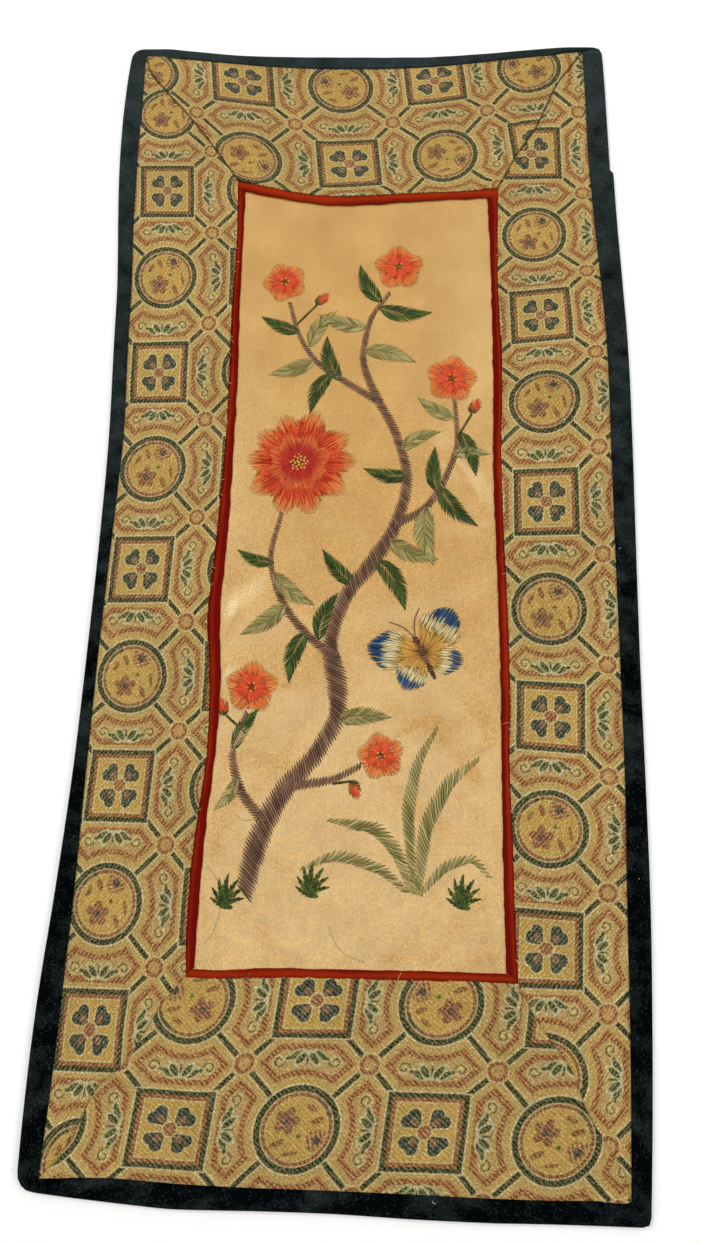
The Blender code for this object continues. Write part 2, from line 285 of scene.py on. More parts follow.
def wavesOf(x, y, rows):
    # waves added up, from rows of size, length and seed
    return sum(high * waves(x, y, length, seed) for high, length, seed in rows)


def tableAt(table, where):
    return np.interp(where, *zip(*table))


def ease(value):
    value = np.clip(value, 0, 1)
    return value * value * (3 - 2 * value)


# Meshes

def meshObject(name, verts, faces, finish, sharp=None, **layers):
    mesh = bpy.data.meshes.new(name)
    mesh.from_pydata([tuple(v) for v in verts], [], [tuple(int(k) for k in f) for f in faces])
    for layer, values in layers.items():
        isColour = values.shape[1] == 4
        made = mesh.attributes.new(layer, "FLOAT_COLOR" if isColour else "FLOAT_VECTOR", "POINT")
        made.data.foreach_set("color" if isColour else "vector", values.astype(np.float32).ravel())
    mesh.materials.append(finish.material)
    mesh.shade_smooth()
    if sharp:
        mesh.set_sharp_from_angle(angle=math.radians(sharp))
    thing = bpy.data.objects.new(name, mesh)
    bpy.context.scene.collection.objects.link(thing)
    return thing


def closedSheet(name, face, back, finish, weave, sharp=50):
    # a sheet with a face, a back and a rim, from two grids of points in metres
    rows, columns = face.shape[:2]
    count = rows * columns
    at = np.arange(count).reshape(rows, columns)
    top = np.stack([at[:-1, :-1], at[1:, :-1], at[1:, 1:], at[:-1, 1:]], -1).reshape(-1, 4)
    rim = np.concatenate([at[:-1, 0], at[-1, :-1], at[:0:-1, -1], at[0, :0:-1]])
    after = np.roll(rim, -1)
    walls = np.stack([after, rim, rim + count, after + count], -1)
    faces = np.concatenate([top, top[:, ::-1] + count, walls])
    verts = np.concatenate([face.reshape(-1, 3), back.reshape(-1, 3)])
    a, b, c, d = (verts[faces[:, k]] for k in range(4))
    volume = (a * np.cross(b, c)).sum() + (a * np.cross(c, d)).sum()
    if volume < 0:
        faces = faces[:, ::-1]
    weave = np.concatenate([weave.reshape(-1, 3)] * 2)
    return meshObject(name, verts, faces, finish, sharp, weave=weave)


def shares(low, high, step, length):
    # evenly spaced shares of a length, from low to high millimetres past its ends
    count = max(2, round((length - low + high) / step))
    return np.linspace(low / length, 1 + high / length, count + 1)


# Camera, lights and floor

view = {
    "place": (12.2, -97.45, 286.4),  # mm from the panel's middle
    "turn": (13.7098, 2.5111, 1.0714),  # degrees about x, y and z; the turn about z comes first
    "lensShare": 900 / 1243,  # focal length as a share of the picture's height
    "sensor": 36.0,
}


def setCamera():
    camera = bpy.data.cameras.new("camera")
    camera.sensor_fit = "VERTICAL"
    camera.sensor_height = view["sensor"]
    camera.lens = view["lensShare"] * view["sensor"]
    camera.clip_start = 0.01
    holder = bpy.data.objects.new("camera", camera)
    bpy.context.scene.collection.objects.link(holder)
    turn = Euler([math.radians(a) for a in view["turn"]], "ZYX").to_matrix().to_4x4()
    holder.matrix_world = Matrix.Translation(Vector(view["place"]) * mm) @ turn
    bpy.context.scene.camera = holder


studio = {
    "world": (1.0, 1.0, 1.0, 0.28),  # colour and strength
    "floor": (0.96, 0.97, 0.985, 1.0),
    "floorReach": 3.0,  # m from the middle to each side
    "lamps": {  # place and aim in m, size in m, watts, colour
        "overhead": ((-0.04, -0.12, 1.00), (0.0, -0.08, 0.0), 0.62, 2.1, (1.0, 0.985, 0.955)),
        "leftSide": ((-0.95, 0.10, 0.95), (0.0, 0.0, 0.0), 0.80, 4.5, (1.0, 0.98, 0.92)),
        "window": ((-0.46, 0.42, 0.90), (0.0, 0.02, 0.0), 0.26, 2.6, (1.0, 0.98, 0.92)),
        "beyondHead": ((-0.10, 0.95, 0.55), (0.0, 0.14, 0.0), 0.45, 0.8, (0.97, 0.985, 1.0)),
        "rightSide": ((0.95, -0.05, 0.85), (0.0, 0.0, 0.0), 0.60, 5.5, (1.0, 0.985, 0.965)),
        "beyondRight": ((0.38, 0.62, 0.90), (0.0, 0.02, 0.0), 0.46, 1.6, (1.0, 0.985, 0.96)),
    },
}


def setStudio():
    world = bpy.data.worlds.new("studio")
    bpy.context.scene.world = world
    world.use_nodes = True
    red, green, blue, strength = studio["world"]
    backdrop = world.node_tree.nodes["Background"]
    backdrop.inputs["Color"].default_value = (red, green, blue, 1)
    backdrop.inputs["Strength"].default_value = strength
    for name, (place, aim, width, watts, colour) in studio["lamps"].items():
        lamp = bpy.data.lights.new(name, "AREA")
        lamp.shape = "DISK"
        lamp.size = width
        lamp.energy = watts
        lamp.color = colour
        holder = bpy.data.objects.new(name, lamp)
        holder.location = place
        holder.rotation_euler = (Vector(aim) - Vector(place)).to_track_quat("-Z", "Y").to_euler()
        bpy.context.scene.collection.objects.link(holder)
    plain = Finish("paleFloor", roughness=0.9, specularIorLevel=0.1, baseColor=studio["floor"])
    reach = studio["floorReach"]
    corners = [(x * reach, y * reach, 0.0) for x, y in ((-1, -1), (1, -1), (1, 1), (-1, 1))]
    meshObject("floor", corners, [(0, 1, 2, 3)], plain)
    bpy.context.scene.view_settings.view_transform = "Standard"


# Satin

satin = {
    "step": 1.15,
    "top": 1.0,
    "back": 0.35,
    "tuck": 3.6,  # how far it runs on under the piping
    "colour": ink(206, 160, 91),
    "deep": ink(195, 145, 75),
    "speck": ink(120, 82, 44),
    "gloss": (0.80, 1.0, 0.80, 1.0),
    "specular": 1.0,
    "roughness": 0.25,
    "bump": 0.00005,  # m
    "edge": (-42.0, 48.5, 63.0, 331.0),  # left, right, foot and head of the shown part
    "fade": 6.0,  # over this width it settles to the piping
    # slack all over, and more of it in the lower half: rows of height, length and seed
    "slack": ((0.05, 34, 5),),
    "lowSlack": ((0.24, 30, 6), (0.19, 15, 12)),
    "lowFrom": 200.0,  # the height at which that starts
    "lowOver": 90.0,  # how much lower it is full
    "pullFade": 0.25,  # share of a pull's length over which it fades out, both ways from each end
    "grainAndSparkleFrom": 1.25,  # grain and painted sparkle are strongest at the foot: this less a share of the height, held to 1
    "grainAndSparkleHigh": 230.0,
    "spots": {"pitch": 0.12, "wide": 0.034, "rare": 0.72, "dark": 0.75},
}
# Soft pulls and puckers: from across, up, to across, up, rise, width at its left and at its right
satinPulls = (
    (24, 235, 38, 225, 0.70, 6.0, 8.0),
    (34, 228, 47, 208, 0.80, 6.0, 8.0),
    (30, 207, 50, 202, 0.35, 3.5, 6.0),
    (-44, 167, -22, 180, 0.52, 10.0, 12.0),
    (-43, 150, -14, 146, 0.60, 8.0, 9.0),
    (10, 166, 46, 179, -0.55, 9.0, 10.0),
    (54, 138, 33, 129, 0.95, 8.0, 12.0),
    (54, 116, 30, 140, -0.50, 7.0, 9.0),
    (17, 132, 28, 138, 0.40, 2.5, 3.0),
    (-42, 134, -14, 128, -0.70, 14.0, 12.0),
    (-44, 104, -10, 116, 0.55, 8.0, 14.0),
    (-32, 76, 4, 88, -0.30, 8.0, 10.0),
    (14, 72, 44, 86, 0.40, 8.0, 12.0),
    (-16, 204, 6, 196, -0.30, 8.0, 10.0),
    (-10, 300, 34, 306, 0.15, 9.0, 16.0),
)


def satinTop(across, up):
    # height of the satin's face
    lower = ease((satin["lowFrom"] - up) / satin["lowOver"])
    total = wavesOf(across, up, satin["slack"]) + wavesOf(across, up, satin["lowSlack"]) * lower
    fade = satin["pullFade"]
    for fromAcross, fromUp, toAcross, toUp, rise, leftWide, rightWide in satinPulls:
        reach = math.hypot(toAcross - fromAcross, toUp - fromUp)
        wayAcross, wayUp = (toAcross - fromAcross) / reach, (toUp - fromUp) / reach
        along = ((across - fromAcross) * wayAcross + (up - fromUp) * wayUp) / reach
        aside = (up - fromUp) * wayAcross - (across - fromAcross) * wayUp
        side = np.where(aside > 0, aside / leftWide, -aside / rightWide)
        ends = ease((along + fade) / (2 * fade)) * ease((1 + fade - along) / (2 * fade))
        total = total + rise * ease(1 - side) * ends
    left, right, foot, head = satin["edge"]
    rim = np.minimum(np.minimum(across - left, right - across), np.minimum(up - foot, head - up))
    return satin["top"] + total * ease(rim / satin["fade"])


def satinFinish():
    cloth = Finish("satinFinish", specularIorLevel=satin["specular"], specularTint=satin["gloss"])
    vector, (x, y, _) = cloth.read("weave")
    grainAndSparkle = held(satin["grainAndSparkleFrom"] - y * (1 / satin["grainAndSparkleHigh"]))
    warp = cloth.noise(cloth.joined(x * 1.1, y * 0.03), 1.0, 3.0)
    cloud = cloth.noise(vector, 0.055, 3.0)
    grain = cloth.noise(cloth.joined(x * 1.7, y * 1.3), 1.0, 2.0, 0.6)
    fleck = cloth.chance(whole(x * 2.1), whole(y * 1.7))
    mottle = cloth.noise(vector, 0.32, 2.0)
    # the colour's grain and mottling grow towards the foot as painted sparkle and sheen; the roughness
    # varies with the grain too
    uneven = (mottle - 0.5) * 0.20 + (grain - 0.5) * 0.36 + (fleck - 0.5) * 0.17
    tone = 0.80 + warp * 0.12 + cloud * 0.16 + uneven * (grainAndSparkle * 1.8 + 0.2)
    spots = satin["spots"]
    spotLinks = {"Vector": cloth.joined(x * spots["pitch"], y * spots["pitch"]), "Scale": 1.0}
    toSpot, pick = (cloth.add("ShaderNodeTexVoronoi", {}, spotLinks, output) for output in (0, 1))
    spot = (toSpot < spots["wide"]) * (cloth.parts(pick)[0] > spots["rare"])
    share = cloud * 2.2 - 0.55 + (grain - 0.5) * grainAndSparkle * 1.6
    colour = cloth.scaled(cloth.mix(held(share), satin["deep"], satin["colour"]), tone)
    colour = cloth.mix(spot * spots["dark"], colour, satin["speck"])
    rough = satin["roughness"] + ((grain - 0.5) * 0.40 + (fleck - 0.5) * 0.12) * (grainAndSparkle + 0.3)
    cloth.set(baseColor=colour, roughness=rough)
    cloth.bump(grain * 0.9 + warp * 0.4 + fleck * 0.5, satin["bump"])
    return cloth


def makeSatin():
    lines = fourLines("satin_ground", "middle")
    length, width = lines["outer"].length, lines["start"].length
    tuck = satin["tuck"]
    along = shares(-tuck, tuck, satin["step"], length)
    across = shares(-tuck, tuck, satin["step"], width)
    u, v = np.meshgrid(along, across, indexing="ij")
    plan = planOf(lines, u, v)
    height = satinTop(plan[..., 0], plan[..., 1])
    weave = np.concatenate([plan, np.zeros_like(plan[..., :1])], axis=-1)
    face, back = inFrame(plan, height), inFrame(plan, np.full_like(height, satin["back"]))
    piece = closedSheet("satinGround", face, back, satinFinish(), weave)
    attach(piece, "root")
    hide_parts("satin_ground")
    return piece, ((width + 2 * tuck) * mm, (length + 2 * tuck) * mm)


# Each strip's number, which its weave carries so that no two strips share their unevenness
stripNumber = {"top": 3, "left": 4, "right": 5, "bottom": 6}

# Piping

piping = {
    "step": 1.5,
    "lift": {"top": 0.30, "bottom": 0.0, "left": 0.0, "right": 0.0},
    # how far the fold reaches over the satin
    "nose": {"top": 0.35, "bottom": 0.15, "left": 0.36, "right": 0.32},
    "under": 2.5,  # how far the side strips run on under the top one
    "butt": 0.15,  # how far a strip's other ends run on
    "inset": 0.2,  # how far inside the fold's outer turn its inner side stays
    "hem": 0.3,  # how much more its cut width is than what shows round the fold
    "wander": (0.20, 7),  # unevenness of its width: size and length
    "flutter": (0.08, 2.5, 3),  # a finer one: size, length and seed
    "swell": ((0.05, 12, 8),),
    "shownAbove": 1.35,
    "endsLighter": 0.35,
    "leftDarker": 0.3,
    "litMiddle": 4.0,  # how far in from its cut edge the painted highlight of its rounded middle lies; towards both edges it is painted in shade
    "colour": ink(148, 43, 15),
    "deep": ink(106, 14, 9),
    "specular": 0.0,
    "roughness": 0.6,
    "bump": 0.00014,
    # share of the shown width, millimetres more, height of the outside and of the inside
    "fold": (
        (0.00, -3.0, 1.36, 1.21),
        (0.00, -1.0, 1.40, 1.24),
        (0.00, 0.0, 1.50, 1.30),
        (0.30, 0.0, 1.72, 1.42),
        (0.60, 0.0, 1.78, 1.44),
        (0.84, 0.0, 1.66, 1.40),
        (0.96, 0.0, 1.46, 1.35),
        (1.00, 0.0, 1.30, 1.31),
        (0.97, 0.0, 1.14, 1.27),
        (0.88, 0.0, 1.05, 1.23),
        (0.70, 0.0, 1.03, 1.20),
        (0.00, 0.0, 1.03, 1.19),
        (0.00, -3.0, 1.03, 1.17),
    ),
}


def pipingFinish():
    cloth = Finish("pipingFinish", roughness=piping["roughness"], specularIorLevel=piping["specular"])
    vector, (x, y, z) = cloth.read("weave")
    slub = cloth.noise(cloth.joined(x * 0.5, y * 2.5), 1.0, 3.0)
    grain = cloth.noise(vector, 4.0, 2.0)
    stretch = cloth.noise(cloth.joined(x * 0.035, y * 0.1, z), 1.0, 2.0)
    # painted shade of its rounded form: lightest at its middle, darker towards both edges
    fromLitMiddle = size(y - piping["litMiddle"])
    atEnds = size(z - 4.5) > 1.0
    atLeft = near(z, stripNumber["left"], 0.5)
    share = slub * 0.5 + grain * 0.4 + (stretch - 0.5) * 1.8 + 0.38 - fromLitMiddle * 0.5
    share = share + atEnds * piping["endsLighter"] - atLeft * piping["leftDarker"]
    cloth.set(baseColor=cloth.mix(held(share), piping["deep"], piping["colour"]))
    cloth.bump(grain + slub * 0.6, piping["bump"])
    return cloth


def makePiping(place, finish):
    lines = fourLines(f"piping_{place}", place)
    length = lines["outer"].length
    butt = piping["butt"]
    under = piping["under"] if place in ("left", "right") else butt
    along = shares(-butt, under, piping["step"], length)
    run = along * length
    width = np.linalg.norm(lines["inner"](along) - lines["outer"](along), axis=1)[:, None]
    table = np.array(piping["fold"])
    across = table[:, 0] + (table[:, 1] + piping["nose"][place] * table[:, 0] ** 6) / width
    inside = across - piping["inset"] * (table[:, 0] == 1.0) / width
    u = np.broadcast_to(along[:, None], across.shape)
    wander = wavesOf(run, 0 * run, ((*piping["wander"], stripNumber[place]), piping["flutter"]))
    planOut = planOf(lines, u, across * (1 + wander[:, None] / width * (table[:, 0] > 0)))
    planIn = planOf(lines, u, inside)
    lift = piping["lift"][place]
    swell = wavesOf(run, 0 * run, piping["swell"])[:, None] * (table[:, 2] > piping["shownAbove"])
    face = inFrame(planOut, table[:, 2] + lift + swell)
    back = inFrame(planIn, table[:, 3] + lift + swell * 0.5)
    steps = np.hypot(np.diff(across[0] * width[0]), np.diff(table[:, 2]))
    turned = np.concatenate([[0.0], np.cumsum(steps)])
    weave = np.stack([u * length, 0 * u + turned, 0 * u + stripNumber[place]], axis=-1)
    piece = closedSheet(f"piping{place.title()}", face, back, finish, weave)
    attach(piece, "root")
    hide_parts(f"piping_{place}")
    flat = ((turned[-1] + piping["hem"]) * mm, (length + under + butt) * mm)


# Brocade

brocade = {
    "step": 0.8,
    "top": 1.55,
    "back": 0.35,
    "under": 3.0,  # how far it runs out under the binding
    "over": 0.35,  # how far the grid reaches over the piping before the laps move its edge
    "sideWide": 40.0,  # about the side strips' width
    "runOn": 3.0,  # how far the side strips run on under the end strips
    # near its ends the part under the binding draws in: to this share, from and over these distances
    "drawIn": (0.3, 2.0, 10.0),
    # how far the inner edge laps the piping, at heights for the sides and places across for the ends
    "laps": {
        "left": ((72, 0.35), (100, 0.15), (140, 0.35), (200, -0.25), (240, 0.3), (270, -0.35), (290, 0.0),
                 (310, -0.2)),
        "right": ((72, 0.3), (110, 0.15), (150, -0.05), (190, -0.1), (210, 0.2), (250, 0.4), (270, -0.15),
                  (325, 0.2)),
        "bottom": ((-40, 0.0), (0, -0.05), (30, -0.25)),
        "top": ((0, 0.35),),
    },
    "rag": ((0.14, 2.2, 31), (0.10, 9, 17)),  # how ragged that edge is: rows of size, length and seed
    "ragWide": 1.6,  # how far in from the edge the cloth moves with it
    "swell": ((0.07, 22, 11),),
    "climb": (5.0, 0.4),  # over what width it climbs on to the piping, and how far past its edge
    "edgeTop": 2.07,
    "edgeBack": 1.62,
    "edgeRound": (0.22, 0.7),  # how far it drops at the inner edge, and over what width
    "backClimb": (5.4, 1.4),  # how far from the inner edge its back starts to climb, and over what width
    "relief": 0.10,
    "thin": 0.12,  # it is nowhere thinner than this
    # The end strips' folded ends lie over the sides. The seam is nearer than the strip's end by
    # the first share. Then how much more the top and the back rise, from and over what distance.
    "seamNear": 0.82,
    "foldTop": (0.52, 9.5, 4.0),
    "foldBack": (1.35, 6.5, 2.5),
    "foldRound": (0.3, 0.6),
    "runOnDrop": (0.30, 0.6, 1.2),
    "seamMark": (0.45, 0.8),  # what the weave's third part carries more at the seam, where a painted shadow darkens the top strip, and over what distance
    "seamShadowDepth": 0.5,
    "cell": 36.3,  # size of one cell of the woven pattern
    "threadWide": 0.25,
    "threadHigh": 0.23,
    "stagger": 0.3333,  # how far each weft thread steps aside from the last
    "wobble": 0.026,  # how unevenly the figure's edges are woven, in cells
    "twill": 1.1,
    "float": 1.3,
    "glint": ink(242, 230, 190),
    "specular": 0.04,
    "roughness": 0.62,
    "bump": 0.00024,
}
# Where the cells of the woven pattern lie in each strip. Cells with an even sum are square.
# Sides: at some heights, how far in from the outer line the column's middle is, how much the rows
# rise to the right and how wide a cell is, then the heights of the cells' middles.
# Ends: how far in the even row lies, how much higher it lies at some places across, the rows'
# pitch, the columns' slant for each row and the places of the cells' middles.
cellTables = {
    "left": {
        "column": ((30, 9.8), (44, 9.3), (60, 9.9), (82, 9.7), (98, 10.1), (133, 11.5), (151, 11.6),
                   (170, 10.7), (205, 11.1), (259, 11.2), (297, 12.0), (318, 12.2), (334, 11.8),
                   (352, 10.7), (368, 9.6)),
        "tilt": ((110, 0.0), (180, 0.03), (280, 0.03), (330, 0.0)),
        "wide": ((60, 33.6), (350, 33.6)),
        "middles": (44.2, 80.1, 115.8, 150.4, 187.1, 222.9, 259.2, 297.8, 334.3, 368.5),
    },
    "right": {
        "column": ((60, 23.9), (106, 23.0), (150, 21.8), (315, 21.8), (333, 20.4)),
        "tilt": ((60, 0.0), (80, -0.05), (140, -0.06), (180, 0.03), (220, 0.05), (260, 0.12), (300, 0.10),
                 (345, 0.0)),
        "wide": ((70, 36.0), (283, 36.3), (315, 34.0), (350, 36.0)),
        "middles": (71.3, 106.2, 140.6, 175.4, 212.8, 250.2, 282.8, 315.0, 349.8, 386.5),
    },
    "bottom": {
        "row": 16.3,
        "higher": ((-54, -3.0), (-36, -2.7), (-24, -1.4), (0, -1.0), (24, -0.7), (36, -0.5), (48, -1.2),
                   (62, -1.6)),
        "pitch": 34.6,
        "slant": 4.6,
        "middles": (-46.7, -9.9, 26.6, 64.1),
    },
    "top": {
        "row": 41.0,
        "higher": ((-60, -0.2), (-30, -1.2), (-12, -1.7), (0, -1.0), (12, -0.2), (24, 0.5), (36, 1.3),
                   (48, 2.2)),
        "pitch": -34.2,
        "slant": -4.0,
        "middles": (-79.9, -42.3, -4.0, 31.3, 66.9),
    },
}


def stretched(where, middles):
    # cell number at a place, from the places of the cells' middles
    number = np.arange(len(middles))
    low, high = middles[1] - middles[0], middles[-1] - middles[-2]
    inside = np.interp(where, middles, number)
    before = np.minimum(0, (where - middles[0]) / low)
    return inside + before + np.maximum(0, (where - middles[-1]) / high)


def clothPlace(place, plan, lines):
    # the woven pattern's own coordinates, in cells: along the weft and along the warp
    table = cellTables[place]
    outer = lines["outer"](np.linspace(-0.05, 1.05, 400))
    x, y = plan[..., 0], plan[..., 1]
    if place in ("left", "right"):
        inward = 1 if place == "left" else -1
        fromBand = (x - np.interp(y, outer[:, 1], outer[:, 0])) * inward
        aside = (fromBand - tableAt(table["column"], y)) * inward
        rise = tableAt(table["tilt"], y) * aside
        return stretched(y - rise, table["middles"]), -aside / tableAt(table["wide"], y)
    inward = 1 if place == "bottom" else -1
    line = np.interp(x, outer[:, 0], outer[:, 1]) + tableAt(table["higher"], x)
    row = ((y - line) * inward - table["row"]) / table["pitch"]
    return stretched(x - table["slant"] * row, table["middles"]), row


def ellipse(x, y, middleX, middleY, turn, halfWide, halfHigh):
    # below 1 inside a turned ellipse
    dx, dy = x - middleX, y - middleY
    c, d = math.cos(math.radians(turn)), math.sin(math.radians(turn))
    a, b = (dx * c + dy * d) * (1 / halfWide), (dy * c - dx * d) * (1 / halfHigh)
    return a * a + b * b


diagonal = 0.7071  # the root of a half

# Ellipses of the woven figure, in cells: place of the middle, turn, half its width and height
fieldLeaves = {
    "back": ((0.102, -0.066, -57, 0.027, 0.062), (0.160, -0.040, -76, 0.017, 0.036)),
    "front": ((0.053, -0.042, -38, 0.029, 0.063), (0.0, -0.030, 0, 0.011, 0.046)),
}
sprigs = (
    (0.15, 0.065, 20, 0.055, 0.024),
    (-0.14, -0.11, 25, 0.060, 0.024),
    (0.10, 0.16, 150, 0.050, 0.020),
    (-0.03, -0.185, 10, 0.070, 0.015),
)
# Lines round the medallions: which ones have it, how far out it is and half its width, then how
# much further out and wider it is in the round ones
borders = {
    "mauve": ("square", 0.316, 0.008, 0.0, 0.0),
    "brown": ("both", 0.302, 0.0165, -0.023, 0.001),
    "pale": ("both", 0.281, 0.005, 0.018, 0.0),
    "innerEdge": ("round", 0.259, 0.005, 0.0, 0.0),
    "ring": ("both", 0.339, 0.020, -0.008, 0.0055),
    "ringEdge": ("both", 0.3640, 0.0065, 0.0, 0.0),
}


def chart(s, t):
    # the woven figure at a place in the cloth, sized in cells: 0 or 1 for each coloured part
    column, row = nearest(s), nearest(t)
    x, y = s - column, t - row
    isRound = folded(column + row, 1.0)
    isSquare = 1 - isRound
    ax, ay = size(x), size(y)
    m, n = most(ax, ay), least(ax, ay)
    fromMiddle = away(x, y)
    square = most(ax * 0.945, ay * 1.005)  # the squares are a little longer along the strip
    out = fromMiddle * isRound * 1.055 + (square * 1.03 + 0.049) * isSquare
    toCorner = away(0.5 - ax, 0.5 - ay)
    slant = (m - n) * diagonal
    parts = {"field": out < 0.362}
    # six-sided fields between the medallions, with leaves and curls
    hexagon = least((m - n - 0.125) * diagonal, out - 0.412 - 0.028 * isRound)
    parts["panelGold"] = hexagon > 0.034
    parts["panelRope"] = near(hexagon, 0.018, 0.023)
    depth = (0.5 - m) * (2 * isRound - 1)
    for name, shapes in fieldLeaves.items():
        leaf = least(*[ellipse(n, depth, *shape) for shape in shapes])
        parts[name + "LeafEdge"] = leaf < 1.75
        parts[name + "Leaf"] = leaf < 0.72
    parts["leafRoot"] = near(depth, -0.004, 0.010) * (n < 0.010)
    curlAcross, curlUp = n - 0.224, depth + 0.018
    curl = away(curlAcross, curlUp)
    winding = angleOf(curlUp, curlAcross) * (0.016 / math.pi)
    parts["curlEdge"] = curl < 0.054
    parts["curl"] = near(curl - winding, 0.031, 0.0085)
    # bars that run from medallion to corner, and the small roundel there
    bar = (out > 0.362) * (toCorner > 0.1)
    parts["barEdge"] = (slant < 0.036) * bar
    parts["bar"] = (slant < 0.021) * bar
    parts["roundelGold"] = toCorner < 0.086
    parts["roundel"] = near(toCorner, 0.064, 0.0155)
    parts["roundelEdge"] = near(toCorner, 0.087, 0.005)
    # round medallions: a flower of five petals, a cluster, sprigs and a dot, turned about in each next row
    facing = 1 - 2 * folded(row, 1.0)
    x, y = x * facing, y * facing
    flowerAcross, flowerUp = x + 0.085, y - 0.062
    fromFlower = away(flowerAcross, flowerUp)
    spread = cosine(folded(angleOf(flowerUp, flowerAcross), math.pi / 5))
    petalOut = (fromFlower * spread - 0.062) * (1 / 0.043)
    petalAside = fromFlower * fromFlower * (1 - spread * spread) * (1 / 0.035 ** 2)
    parts["flower"] = isRound * (petalOut * petalOut + petalAside < 1.0)
    parts["flowerHeart"] = isRound * (fromFlower < 0.028)
    cluster = away(x - 0.165, y + 0.085)
    parts["cluster"] = isRound * (cluster < 0.088) * (cosine(x * 175 + y * 60) > -0.35)
    parts["clusterHeart"] = isRound * (cluster < 0.034)
    sprig = 9.0
    for shape in sprigs:
        sprig = least(ellipse(x, y, *shape), sprig)
    parts["sprig"] = isRound * (sprig < 1.0)
    parts["dot"] = isRound * (away(x - 0.02, y + 0.05) < 0.017)
    parts["inkedArc"] = isRound * near(out, 0.279, 0.019) * (
        most((x * 0.766 + y * 0.643) * 1.06, 0 - x * 0.906 - y * 0.423) > out * 0.955)
    # square medallions: four hearts round a button
    p = (ax + ay * 1.11) * diagonal - 0.148
    q = size(ax - ay * 1.11) * diagonal
    outward = held((p + 0.072) * 9.2 + q * 4.1)
    heart = away(p + 0.074 - outward * 0.088, q - outward * 0.038) - outward * 0.030
    parts["heartEdge"] = isSquare * (heart < 0.034)
    parts["heart"] = isSquare * (heart < 0.023)
    parts["heartEye"] = isSquare * (root((p + 0.032) * (p + 0.032) * 0.7 + q * q) < 0.031)
    parts["buttonEdge"] = isSquare * (fromMiddle < 0.066)
    parts["button"] = isSquare * (fromMiddle < 0.053)
    shownOn = {"square": isSquare, "round": isRound, "both": 1}
    for name, (kind, far, half, roundFar, roundHalf) in borders.items():
        line = near(out, far + roundFar * isRound, half + roundHalf * isRound)
        parts[name] = shownOn[kind] * line
    return parts


# The woven parts in the order in which one covers the next: colour on the floats, colour
# between them, relief
wovenParts = (
    ("panelGold", ink(212, 178, 110), ink(200, 162, 94), 0.0),
    ("panelRope", ink(148, 86, 43), ink(208, 152, 92), 0.8),
    ("backLeafEdge", ink(230, 218, 164), ink(198, 188, 128), 0.4),
    ("backLeaf", ink(62, 76, 42), ink(138, 132, 78), 0.8),
    ("frontLeafEdge", ink(230, 218, 164), ink(198, 188, 128), 0.5),
    ("frontLeaf", ink(54, 68, 38), ink(132, 126, 72), 0.9),
    ("leafRoot", ink(150, 92, 60), ink(184, 138, 88), 0.6),
    ("curlEdge", ink(232, 210, 146), ink(212, 180, 112), 0.3),
    ("curl", ink(112, 100, 34), ink(152, 132, 60), 0.8),
    ("barEdge", ink(240, 222, 164), ink(216, 186, 118), 0.5),
    ("bar", ink(22, 48, 26), ink(112, 102, 52), 0.9),
    ("roundelGold", ink(212, 174, 106), ink(200, 156, 90), 0.2),
    ("roundel", ink(146, 86, 46), ink(196, 140, 84), 0.8),
    ("roundelEdge", ink(240, 220, 160), ink(212, 178, 112), 0.5),
    ("field", ink(220, 184, 98), ink(204, 160, 76), 0.0),
    ("cluster", ink(136, 80, 62), ink(188, 134, 92), 0.6),
    ("clusterHeart", ink(72, 66, 62), ink(126, 100, 76), 0.7),
    ("sprig", ink(142, 92, 52), ink(184, 132, 72), 0.6),
    ("flower", ink(140, 84, 56), ink(192, 140, 90), 0.8),
    ("flowerHeart", ink(84, 72, 62), ink(140, 112, 80), 0.9),
    ("dot", ink(74, 96, 44), ink(118, 120, 60), 0.8),
    ("heartEdge", ink(244, 228, 164), ink(220, 190, 118), 0.4),
    ("heart", ink(34, 54, 50), ink(110, 108, 78), 0.9),
    ("heartEye", ink(124, 90, 66), ink(184, 142, 98), 0.6),
    ("buttonEdge", ink(244, 224, 158), ink(216, 180, 110), 0.4),
    ("button", ink(152, 92, 58), ink(200, 148, 96), 0.8),
    ("mauve", ink(108, 74, 54), ink(156, 116, 78), 0.7),
    ("brown", ink(142, 84, 46), ink(194, 140, 82), 0.6),
    ("inkedArc", ink(66, 68, 44), ink(146, 118, 72), 0.6),
    ("pale", ink(248, 232, 178), ink(216, 182, 114), 0.7),
    ("innerEdge", ink(240, 218, 150), ink(214, 174, 100), 0.4),
    ("ring", ink(22, 48, 28), ink(118, 108, 60), 1.0),
    ("ringEdge", ink(246, 230, 178), ink(220, 192, 128), 0.5),
)
wovenGround = (ink(214, 180, 106), ink(204, 166, 90))
raisedParts = ("panelRope", "backLeaf", "frontLeaf", "bar", "heart", "flower", "ring", "brown")


